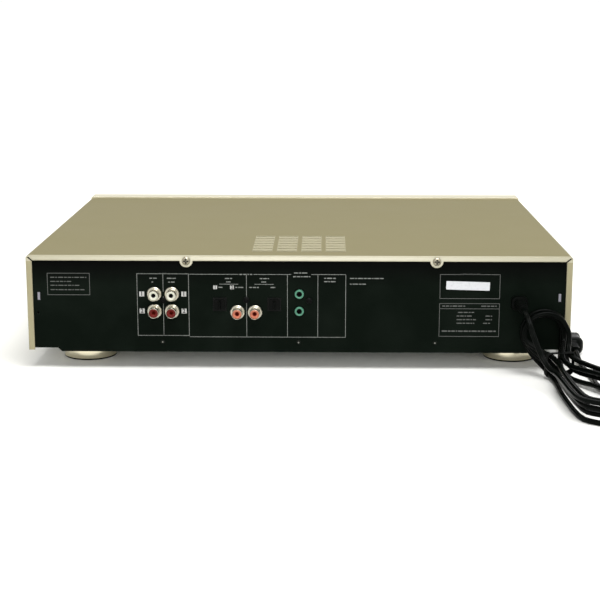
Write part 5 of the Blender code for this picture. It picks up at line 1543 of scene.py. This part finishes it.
def dial_finish(name, node, colour=turned_champagne):
    """Turned metal, whose marks run round the control's own axis."""
    finish = new_finish(name, colour, 0.28, 0.95)
    mottle(finish, 2400, tuple(0.88 * part for part in colour), 0.5, 0.8)
    low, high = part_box(node)
    shift = add_node(finish, "Mapping")
    shift.inputs["Location"].default_value = (-(low.x + high.x) / 2, 0, -(low.z + high.z) / 2)
    marks = add_node(finish, "TexWave", wave_type="RINGS", rings_direction="Y", Scale=700, Detail=2)
    marks.inputs["Distortion"].default_value = 1.5
    own_place(finish, shift)
    join(finish, shift.outputs["Vector"], marks.inputs["Vector"])
    sheen = ranged(finish, marks.outputs["Fac"], 0, 1, 0.22, 0.34)
    join(finish, sheen, shader_input(finish, "Roughness"))
    emboss(finish, marks.outputs["Fac"], 0.000006)
    return finish


def knurled(radius, depth, ridges, extra=None):
    """A bend function that ripples the rim with ridges and then applies another bend."""
    def press(a, b, along):
        out = math.hypot(a, b)
        if out > 0.985 * radius:
            ripple = depth * (0.5 + 0.5 * math.cos(ridges * math.atan2(b, a)))
            a, b = a * (1 - ripple / out), b * (1 - ripple / out)
        return extra(a, b, along) if extra else (a, b, along)

    return press


knob_shaft, knob_gap, knob_break = 0.0030, 0.0008, 0.0004


def knob_profile(radius, reach, shaft_end, rings, bevel=0.0010):
    """A knob's half outline: a face of many rings, a round bevel, the rim and the shaft."""
    face = [((radius - bevel) * i / rings, -reach) for i in range(rings + 1)]
    rim = arc((radius - bevel, bevel - reach), bevel, -75, 0, 5)
    foot = [(radius, -knob_gap - knob_break), (radius - knob_break, -knob_gap)]
    shaft = [(knob_shaft, -knob_gap), (knob_shaft, shaft_end), (0, shaft_end)]
    return [*face, *rim, *foot, *shaft]


def control_place(node):
    low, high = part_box(node)
    return ((low.x + high.x) / 2, front_face_y, (low.z + high.z) / 2), high.y - front_face_y


dial_radius, dial_reach = 0.0180, 0.0140
dial_knurl, dial_ridges = 0.00035, 60
dimple_radius, dimple_depth, dimple_orbit = 0.0045, 0.0015, 0.0105
face_slack = 0.0001


def press_dimple(a, b, along):
    away = math.hypot(a, b - dimple_orbit) / dimple_radius
    bowl = dimple_depth * max(1 - away**2, 0) if along < -dial_reach + face_slack else 0
    return a, b, along + bowl


centre, shaft_end = control_place("jog_dial")
profile = knob_profile(dial_radius, dial_reach, shaft_end, 30)
turned_piece(
    "jog_dial_knob", profile, centre, "Y", dial_finish("dial_metal", "jog_dial"),
    sides=4 * dial_ridges, bend=knurled(dial_radius, dial_knurl, dial_ridges, press_dimple),
    body="jog_dial", stands_for=("jog_dial",), slot="champagne_plastic", crease=50,
)
print("Jog dial", round(2000 * dial_radius, 1), "mm across")

# %% [markdown]
# ## The level knobs
#
# Two smaller knobs set the recording and the headphone level. Each has a black line on its face
# that shows where it points, a thin slab that turns with it. Round both the panel is printed with
# a scale of short lines, and round the larger one with plain numbers too.

# %% Turn the level knobs
level_knobs = (
    ("record_level_knob", 0.0135, 0.0125, 48, "level_metal"),
    ("phones_level_knob", 0.0065, 0.0100, 30, "phones_metal"),
)
pointer_half, level_knurl, level_bevel = 0.00055, 0.0003, 0.0008
for node, radius, reach, ridges, finish_name in level_knobs:
    centre, shaft_end = control_place(node)
    profile = knob_profile(radius, reach, shaft_end, 16, level_bevel)
    turned_piece(
        f"{node}_cap", profile, centre, "Y", dial_finish(finish_name, node),
        sides=4 * ridges, bend=knurled(radius, level_knurl, ridges),
        body=node, stands_for=(node,), slot="champagne_plastic", crease=50,
    )
    shape = bmesh.new()
    tip = front_face_y - reach
    low_z, high_z = centre[2] + 0.36 * radius, centre[2] + 0.93 * radius
    add_slab(
        shape, oblong(centre[0] - pointer_half, low_z, centre[0] + pointer_half, high_z),
        tip + ink_sink, tip - ink_stand,
    )
    piece(f"{node}_pointer", shape, ink_black, body=node, slot="champagne_plastic")
print(len(level_knobs), "level knobs")

# %% [markdown]
# ## Scales on the face
#
# The scale is a fan of short bars about the knob's axis, from 7 o'clock to 5 o'clock, with plain
# numbers at every second one. The lines and numbers stand a few hundredths of a millimetre out.

# %% Print the scales
front_print = bmesh.new()
scale_start, scale_sweep, scale_marks = 225, -270, 11
number_gap, number_size = 0.0020, 0.0026


def add_scale(shape, node, radius, line, length, numbers):
    """Short bars round a knob, and numbers outside them."""
    centre, _ = control_place(node)
    for i in range(scale_marks):
        turn = math.radians(scale_start + scale_sweep * i / (scale_marks - 1))
        out = Vector((math.cos(turn), math.sin(turn)))
        aside = Vector((-out.y, out.x))
        corners = []
        for along, across in ((0, -1), (1, -1), (1, 1), (0, 1)):
            spot = out * (radius + along * length) + aside * across * line / 2
            corners.append((centre[0] + spot.x, centre[2] + spot.y))
        add_slab(shape, corners, front_face_y + ink_sink, front_face_y - ink_stand)
        if numbers and i % 2 == 0:
            spot = out * (radius + length + number_gap)
            place = (centre[0] + spot.x, front_face_y - ink_stand, centre[2] + spot.y)
            add_text(shape, str(i), number_size, place, 1, -1)


add_scale(
    front_print, "record_level_knob", radius=0.0148, line=0.0003, length=0.0014, numbers=True
)
add_scale(
    front_print, "phones_level_knob", radius=0.0076, line=0.00025, length=0.0009, numbers=False
)
timer_low, timer_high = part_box("timer_switch")
timer_x = (timer_low.x + timer_high.x) / 2
timer_z = (timer_low.z + timer_high.z) / 2
timer_step, timer_line = 0.0040, 0.0003
mark_low, mark_high, mark_number, mark_size = 0.0032, 0.0046, 0.0062, 0.0022
for step in (-1, 0, 1):
    x = timer_x + step * timer_step
    left, right = x - timer_line / 2, x + timer_line / 2
    corners = oblong(left, timer_z + mark_low, right, timer_z + mark_high)
    add_slab(front_print, corners, front_face_y + ink_sink, front_face_y - ink_stand)
    place = (x, front_face_y - ink_stand, timer_z + mark_number)
    add_text(front_print, str(step + 1), mark_size, place, 1, -1)
piece("front_scales", front_print, ink_black, slot="front")

# %% [markdown]
# ## Phones socket and timer switch
#
# The phones socket is a black bush with a nickel ring set into its mouth. The timer switch is a
# small slide whose knob is ribbed for a fingernail, on a plate that covers its slot from behind.

# %% Turn the phones socket
phones_ring, phones_bore, phones_reach = 0.0065, 0.0033, 0.0018
phones_barrel, phones_body, phones_depth = 0.0052, 0.0060, 0.0280
phones_seat, phones_floor = 0.0038, 0.0220
phones_rim, phones_slope, mouth_edge, mouth_step = 0.0008, 0.0010, 0.0008, 0.0006
moulded_black = layered(
    "moulded_black", (0.003, 0.0034, 0.003), 0.4, Specular_IOR_Level=0.08,
    sheen=(500, 0.32, 0.5), patches=(900, (0.005, 0.0055, 0.005)),
    edges=(0.0003,), bumps=(1800, 0.00003),
)
centre, _ = control_place("phones_socket")
phones_profile = [
    (0, phones_depth),
    (phones_body, phones_depth),
    (phones_body, phones_seat),
    (phones_barrel, phones_seat),
    (phones_barrel, 0),
    (phones_ring, 0),
    (phones_ring, -phones_rim),
    (phones_ring - phones_slope, -phones_reach),
    (phones_bore + mouth_edge, -phones_reach),
    (phones_bore + mouth_edge, mouth_step - phones_reach),
    (phones_bore, mouth_step - phones_reach),
    (phones_bore, phones_floor),
    (0, phones_floor),
]
turned_piece(
    "phones_bush", phones_profile, centre, "Y", moulded_black,
    sides=64, stands_for=("phones_socket",), slot="black_plastic",
)
ring_section = ((0.7, 0.5), (0.7, -0.1), (0.4, -0.3), (0.1, 0), (0.1, 0.5))
mouth_ring = [(phones_bore + out * mm, along * mm - phones_reach) for out, along in ring_section]
turned_piece(
    "phones_mouth", mouth_ring, centre, "Y", socket_nickel,
    sides=64, closed=True, slot="black_plastic",
)

# %% Mould the timer slide
slide_width, slide_height, slide_stand = 0.0050, 0.0038, 0.0020
slide_break, slide_corner, plate_sheet = 0.0003, 0.0004, 0.0010
plate_back = timer_high.y - front_face_y
plate_seat = plate_back - plate_sheet
plate_size = (timer_high.x - timer_low.x, timer_high.z - timer_low.z, slide_corner)
shape = bmesh.new()
slide_middle = (timer_x, front_face_y, timer_z)
add_rings(shape, rows_along_y(slide_middle, [(plate_seat, *plate_size), (plate_back, *plate_size)]))
slide_rows = [
    (-slide_stand, slide_width - 2 * slide_break, slide_height - 2 * slide_break, slide_corner / 2),
    (-slide_stand + slide_break, slide_width, slide_height, slide_corner),
    (plate_seat + slide_break, slide_width, slide_height, slide_corner),
]
add_rings(shape, rows_along_y(slide_middle, slide_rows))
rib_step, rib_stand, rib_break, rib_corner = 0.0009, 0.0003, 0.0002, 0.0001
rib_wide, rib_tall = 0.0005, 0.0032
rib_rows = [
    (-slide_stand - rib_stand, rib_wide - rib_break, rib_tall - rib_break, rib_corner),
    (-slide_stand, rib_wide, rib_tall, rib_corner),
    (-slide_stand + rib_break, rib_wide, rib_tall, rib_corner),
]
for step in range(-2, 3):
    rib_middle = (timer_x + step * rib_step, front_face_y, timer_z)
    add_rings(shape, rows_along_y(rib_middle, rib_rows, 2))
piece(
    "timer_slide", shape, moulded_black,
    body="timer_switch", stands_for=("timer_switch",), slot="black_plastic",
)
print("Timer slide", round(1000 * slide_width, 1), "mm wide")

# %% [markdown]
# ## The slot's flap
#
# A minidisc goes in through a slot that a light flap closes. It hangs on two pins at its upper
# edge, is rolled at its lower edge and has one shallow groove along it.

# %% Make the flap
flap_low, flap_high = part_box("slot_flap")
flap_satin = layered(
    "flap_satin", (0.60, 0.55, 0.42), 0.3, 0.8, lie=brushed,
    sheen=(2600, 0.24, 0.38), patches=(2000, (0.52, 0.47, 0.35), 0.5, 0.8), bumps=(2600, 0.00001),
)
flap_pin_radius, flap_pin_length = 0.0007, 0.0022
flap_middle_y = (flap_low.y + flap_high.y) / 2
flap_sheet = flap_high.y - flap_low.y
flap_top, flap_foot = flap_high.z - flap_pin_radius, flap_low.z
flap_half = flap_high.x - flap_pin_length
groove_z, groove_half, groove_depth = flap_foot + 0.0022, 0.0004, 0.00025
outline = [
    (flap_low.y, flap_top),
    (flap_low.y, groove_z + groove_half),
    (flap_low.y + groove_depth, groove_z + groove_half / 2),
    (flap_low.y + groove_depth, groove_z - groove_half / 2),
    (flap_low.y, groove_z - groove_half),
]
for turn in range(180, 361, 30):
    a, b = math.cos(math.radians(turn)), math.sin(math.radians(turn))
    outline.append((flap_middle_y + a * flap_sheet / 2, flap_foot + flap_sheet / 2 * (1 + b)))
outline.append((flap_high.y, flap_top))
shape = bmesh.new()
add_rings(shape, [[(x, y, z) for y, z in outline] for x in (-flap_half, flap_half)])
pin = [(0, -flap_high.x), (flap_pin_radius, -flap_high.x)]
pin += [(flap_pin_radius, flap_high.x), (0, flap_high.x)]
add_rings(shape, turned(pin, (0, flap_middle_y, flap_top), "X", 16))
piece(
    "flap_plate", shape, flap_satin,
    body="slot_flap", stands_for=("slot_flap",), slot="champagne_plastic",
)
print("Flap", round(2000 * flap_half, 1), "mm wide")

# %% [markdown]
# ## The display window
#
# Behind a smoked pane stands a fluorescent display. Unlit, it shows only as a dark field with
# faint segments: clock digits made of seven bars each, and two level meters as rows of blocks. The
# pane lets some light through, so the segments are real bars on the display's glass behind it.

# %% Smoke the pane and set the segments
smoked_pane = new_finish(
    "smoked_pane", (0.34, 0.34, 0.35), 0.06,
    IOR=1.49, Transmission_Weight=0.98, Specular_IOR_Level=0.25,
)
uneven_sheen(smoked_pane, 60, 0.03, 0.08)
grain(smoked_pane, 40, 0.000004)
dress(smoked_pane, "display_window")

segment_grey = layered(
    "segment_grey", (0.62, 0.68, 0.64), 0.5,
    sheen=(900, 0.42, 0.6), patches=(1500, (0.52, 0.58, 0.54)), bumps=(2000, 0.00001),
)
pane_low, pane_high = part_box("display_window")
glass_gap = 0.0003
glass_y = pane_high.y + glass_gap
display_z = (pane_low.z + pane_high.z) / 2
segments = bmesh.new()


def add_segment(left, low, right, high):
    corners = oblong(left, display_z + low, right, display_z + high)
    add_slab(segments, corners, glass_y + ink_sink, glass_y - 2 * ink_stand)


display_left, digits_z, meters_z = -0.0400, 0.0035, -0.0062
digit_count, digit_step, pair_gap = 6, 0.0072, 0.0022
digit_wide, digit_tall, digit_line = 0.0048, 0.0085, 0.0008
for digit in range(digit_count):
    left = display_left + digit * digit_step + pair_gap * (digit // 2)
    right = left + digit_wide
    for level in (-1, 0, 1):
        z = digits_z + level * digit_tall / 2
        add_segment(left + digit_line, z - digit_line / 2, right - digit_line, z + digit_line / 2)
    for edge in (left, right - digit_line):
        for level in (-1, 0):
            z = digits_z + level * digit_tall / 2
            add_segment(edge, z + digit_line, edge + digit_line, z + digit_tall / 2 - digit_line)
meters, meter_step, meter_blocks, block_step = 2, 0.0026, 26, 0.0027
block_wide, block_tall = 0.0021, 0.0014
for meter in range(meters):
    for block in range(meter_blocks):
        left = display_left + block * block_step
        z = meters_z - meter * meter_step
        add_segment(left, z, left + block_wide, z + block_tall)
piece("display_segments", segments, segment_grey, slot="board")
print(digit_count, "digits and", meters * meter_blocks, "meter blocks")

# %% [markdown]
# ## Inside the deck
#
# With the cover off, the deck holds a power transformer, a main board with its parts, and the
# mechanism under the slot. These solids keep their CAD shape. A board and the parts on it are one
# mesh, so their place tells them apart. On the main board that is Z: green board, black parts
# above it, and the grey tops of the tallest ones. On the display's board, which stands upright,
# it is Y, and the display in front of it is nearly black.

# %% Dress the boards
board_green = new_finish("board_green", (0.015, 0.085, 0.035), 0.38)
uneven_sheen(board_green, 300, 0.3, 0.46)
copper_lines = add_node(board_green, "TexBrick", Scale=260)
own_place(board_green, copper_lines)
for socket, shade in (("Color1", 0), ("Color2", 0.6), ("Mortar", 1)):
    copper_lines.inputs[socket].default_value = (shade, shade, shade, 1)
tint(board_green, copper_lines.outputs["Color"], (0.03, 0.16, 0.07))
board_seat, board_sheet = 0.0085, 0.0016
board_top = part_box("main_board")[0].z + board_seat + board_sheet
parts_z, sinks_z = board_top + 0.0004, board_top + 0.0255
tint_beyond(board_green, "Z", parts_z, parts_z + 0.0002, (0.02, 0.02, 0.02))
tint_beyond(board_green, "Z", sinks_z, sinks_z + 0.0003, (0.45, 0.45, 0.46))
grain(board_green, 900, 0.00005, detail=4)
dress(board_green, "main_board")

display_green = layered(
    "display_green", (0.015, 0.085, 0.035), 0.38,
    sheen=(300, 0.3, 0.46), patches=(260, (0.03, 0.15, 0.065), 0.45, 0.55), bumps=(900, 0.00005, 4),
)
front_board_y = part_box("front_board")[1].y - board_sheet
glass_start, glass_end = front_board_y - 0.0002, front_board_y - 0.0004
tint_beyond(display_green, "Y", glass_start, glass_end, (0.01, 0.012, 0.012))
dress(display_green, "front_board")
print("Main board's top at Z", round(1000 * board_top, 1), "mm")

# %% [markdown]
# ## Transformer, sockets' blocks and mechanism
#
# The transformer's core is a stack of thin varnished sheets, which show as fine lines, and its
# coil, wrapped in yellow tape, bulges out in front and behind. So the tape is a band on Y.

# %% Dress the transformer
laminations = new_finish("laminations", (0.085, 0.080, 0.075), 0.45, 0.6)
uneven_sheen(laminations, 200, 0.36, 0.56)
sheets = add_node(laminations, "TexWave", bands_direction="Y", Scale=320)
own_place(laminations, sheets)
tint(laminations, ranged(laminations, sheets.outputs["Fac"], 0.5, 1), (0.045, 0.042, 0.04))
core_low, core_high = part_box("power_transformer")
coil_bulge = 0.0080
for edge, outward in ((core_low.y + coil_bulge, -1), (core_high.y - coil_bulge, 1)):
    start, end = edge + outward * 0.0001, edge + outward * 0.0003
    tint_beyond(laminations, "Y", start, end, (0.55, 0.42, 0.08))
emboss(laminations, sheets.outputs["Fac"], 0.00005)
dress(laminations, "power_transformer")

dress(moulded_black, "line_jack_housing", "coaxial_jack_housing")
dress(moulded_black, "optical_in_module", "optical_out_module")

# %% [markdown]
# ## The pickup and its drive
#
# The sled is black moulding with a lens on top, a tiny dome of blue-coated glass. It rides on the
# sled's own body, so it travels with it. The spindle and the guide rod are ground steel, and the
# lead screw's thread is a fine wave along its axis.

# %% Set the lens
sled_low, sled_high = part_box("pickup_sled")
lens_shift, lens_y = 0.00125, -0.1221
lens_centre = ((sled_low.x + sled_high.x) / 2 + lens_shift, lens_y, sled_high.z)
lens_glass = layered(
    "lens_glass", (0.03, 0.06, 0.16), 0.05, Coat_Weight=1.0,
    sheen=(600, 0.03, 0.08), patches=(900, (0.06, 0.04, 0.16)), bumps=(300, 0.000002),
)
lens_height, lens_curve, lens_rim, lens_sink = 0.0009, 0.0030, 0.0020, 0.0001
lens_dome = [(0, lens_height), *arc((0, lens_height - lens_curve), lens_curve, 80, 50, 6)]
lens_dome += [(lens_rim, -lens_sink), (0, -lens_sink)]
turned_piece(
    "pickup_lens", lens_dome, lens_centre, "Z", lens_glass,
    body="pickup_sled", slot="black_plastic",
)
dress(moulded_black, "pickup_sled")

ground_steel = new_finish("ground_steel", (0.50, 0.50, 0.49), 0.22, 1.0)
uneven_sheen(ground_steel, 1800, 0.16, 0.3, stretch=(0.02, 1, 1))
mottle(ground_steel, 1200, (0.38, 0.38, 0.37))
grain(ground_steel, 2600, 0.000005, stretch=(0.02, 1, 1))
dress(ground_steel, "guide_rod", "disc_spindle")

threaded_steel = new_finish("threaded_steel", (0.44, 0.44, 0.43), 0.26, 1.0)
uneven_sheen(threaded_steel, 1200, 0.2, 0.34)
mottle(threaded_steel, 1200, (0.3, 0.3, 0.29))
thread = add_node(threaded_steel, "TexWave", bands_direction="X", Scale=320)
own_place(threaded_steel, thread)
emboss(threaded_steel, thread.outputs["Fac"], 0.0002)
dress(threaded_steel, "lead_screw")

# %% [markdown]
# ## The floor
#
# The deck stands on a white sheet. The floor is one large plane in plain white, so near the deck
# it shows the light and the shadow as they fall. Further out a real sheet would be swept up behind
# the object and lit by itself. Here the plane gives off light of its own there, for rays from the
# camera and for reflections, and the share grows with the distance from the deck.

# %% Lay the floor
floor_reach = 60
floor_mesh = bpy.data.meshes.new("studio_floor")
floor_outline = oblong(-floor_reach, -floor_reach, floor_reach, floor_reach)
floor_mesh.from_pydata([(x, y, 0) for x, y in floor_outline], [], [(0, 1, 2, 3)])
floor = bpy.data.objects.new("studio_floor", floor_mesh)
bpy.context.scene.collection.objects.link(floor)

floor_white = new_finish("floor_white", (0.93, 0.93, 0.895), 0.9, Specular_IOR_Level=0.1)
floor_mesh.materials.append(floor_white)
grain(floor_white, 300, 0.00005)


def seen_rays(tree):
    """1 for rays from the camera, reflections and rays through glass, and 0 for light itself."""
    path = tree.nodes.new("ShaderNodeLightPath")
    total = path.outputs["Is Camera Ray"]
    for kind in ("Is Glossy Ray", "Is Transmission Ray"):
        either = tree.nodes.new("ShaderNodeMath")
        either.operation = "MAXIMUM"
        tree.links.new(total, either.inputs[0])
        tree.links.new(path.outputs[kind], either.inputs[1])
        total = either.outputs["Value"]
    return total


distance = add_node(floor_white, "VectorMath", operation="LENGTH")
own_place(floor_white, distance)
glow_start, glow_full, glow_share = 0.42, 1.5, 0.8
glow = ranged(floor_white, distance.outputs["Value"], glow_start, glow_full, 0.0, glow_share)
shown = add_node(floor_white, "Math", operation="MULTIPLY")
join(floor_white, glow, shown.inputs[0])
join(floor_white, seen_rays(floor_white.node_tree), shown.inputs[1])
join(floor_white, shown.outputs["Value"], shader_input(floor_white, "Emission Strength"))
shader_input(floor_white, "Emission Color").default_value = (1, 1, 1, 1)

# %% [markdown]
# ## The light
#
# The room is a pale world, which the camera and reflections see as plain white. The light that it
# sheds is another matter: behind the camera a studio is dim, so that share falls off towards +Y,
# and the black panel and the lead stay black. One large soft box hangs above the camera. It gives
# the bends of the cover their bright line and the deck its shadow underneath. A weaker lamp, low
# and far back, fills the rear panel.

# %% Light the room
room = bpy.data.worlds.new("studio_room")
bpy.context.scene.world = room
room.use_nodes = True
tree = room.node_tree
sky = tree.nodes["Background"]
sky.inputs["Color"].default_value = (1, 1, 1, 1)


def world_node(kind, **values):
    node = tree.nodes.new("ShaderNode" + kind)
    for word, value in values.items():
        node.inputs[word.replace("_", " ")].default_value = value
    return node


direction = world_node("TexCoord")
axes = world_node("SeparateXYZ")
tree.links.new(direction.outputs["Generated"], axes.inputs["Vector"])
dim_side = world_node("MapRange", From_Min=-0.1, From_Max=0.75, To_Min=0.86, To_Max=0.22)
tree.links.new(axes.outputs["Y"], dim_side.inputs["Value"])
level = tree.nodes.new("ShaderNodeMath")
level.operation = "MAXIMUM"
tree.links.new(seen_rays(tree), level.inputs[0])
tree.links.new(dim_side.outputs["Result"], level.inputs[1])
tree.links.new(level.outputs["Value"], sky.inputs["Strength"])


def hang_soft_box(name, place, width, depth, power):
    """A rectangular lamp that faces the deck."""
    lamp = bpy.data.lights.new(name, "AREA")
    lamp.shape = "RECTANGLE"
    lamp.size, lamp.size_y, lamp.energy = width, depth, power
    box = bpy.data.objects.new(name, lamp)
    bpy.context.scene.collection.objects.link(box)
    box.location = place
    box.rotation_euler = (-Vector(place)).to_track_quat("-Z", "Y").to_euler()


hang_soft_box("soft_box", (-0.4, 1.2, 2.4), width=2.0, depth=1.2, power=70)
hang_soft_box("fill_box", (0, 2.8, 0.8), width=1.2, depth=0.9, power=17)

# %% [markdown]
# ## Colours as mixed
#
# The Standard view shows the colours as they were mixed, with no film curve over them. The pieces
# that were made again stand where the old ones stood, within a few millimetres.

# %% Look at the colours as written
bpy.context.scene.view_settings.view_transform = "Standard"
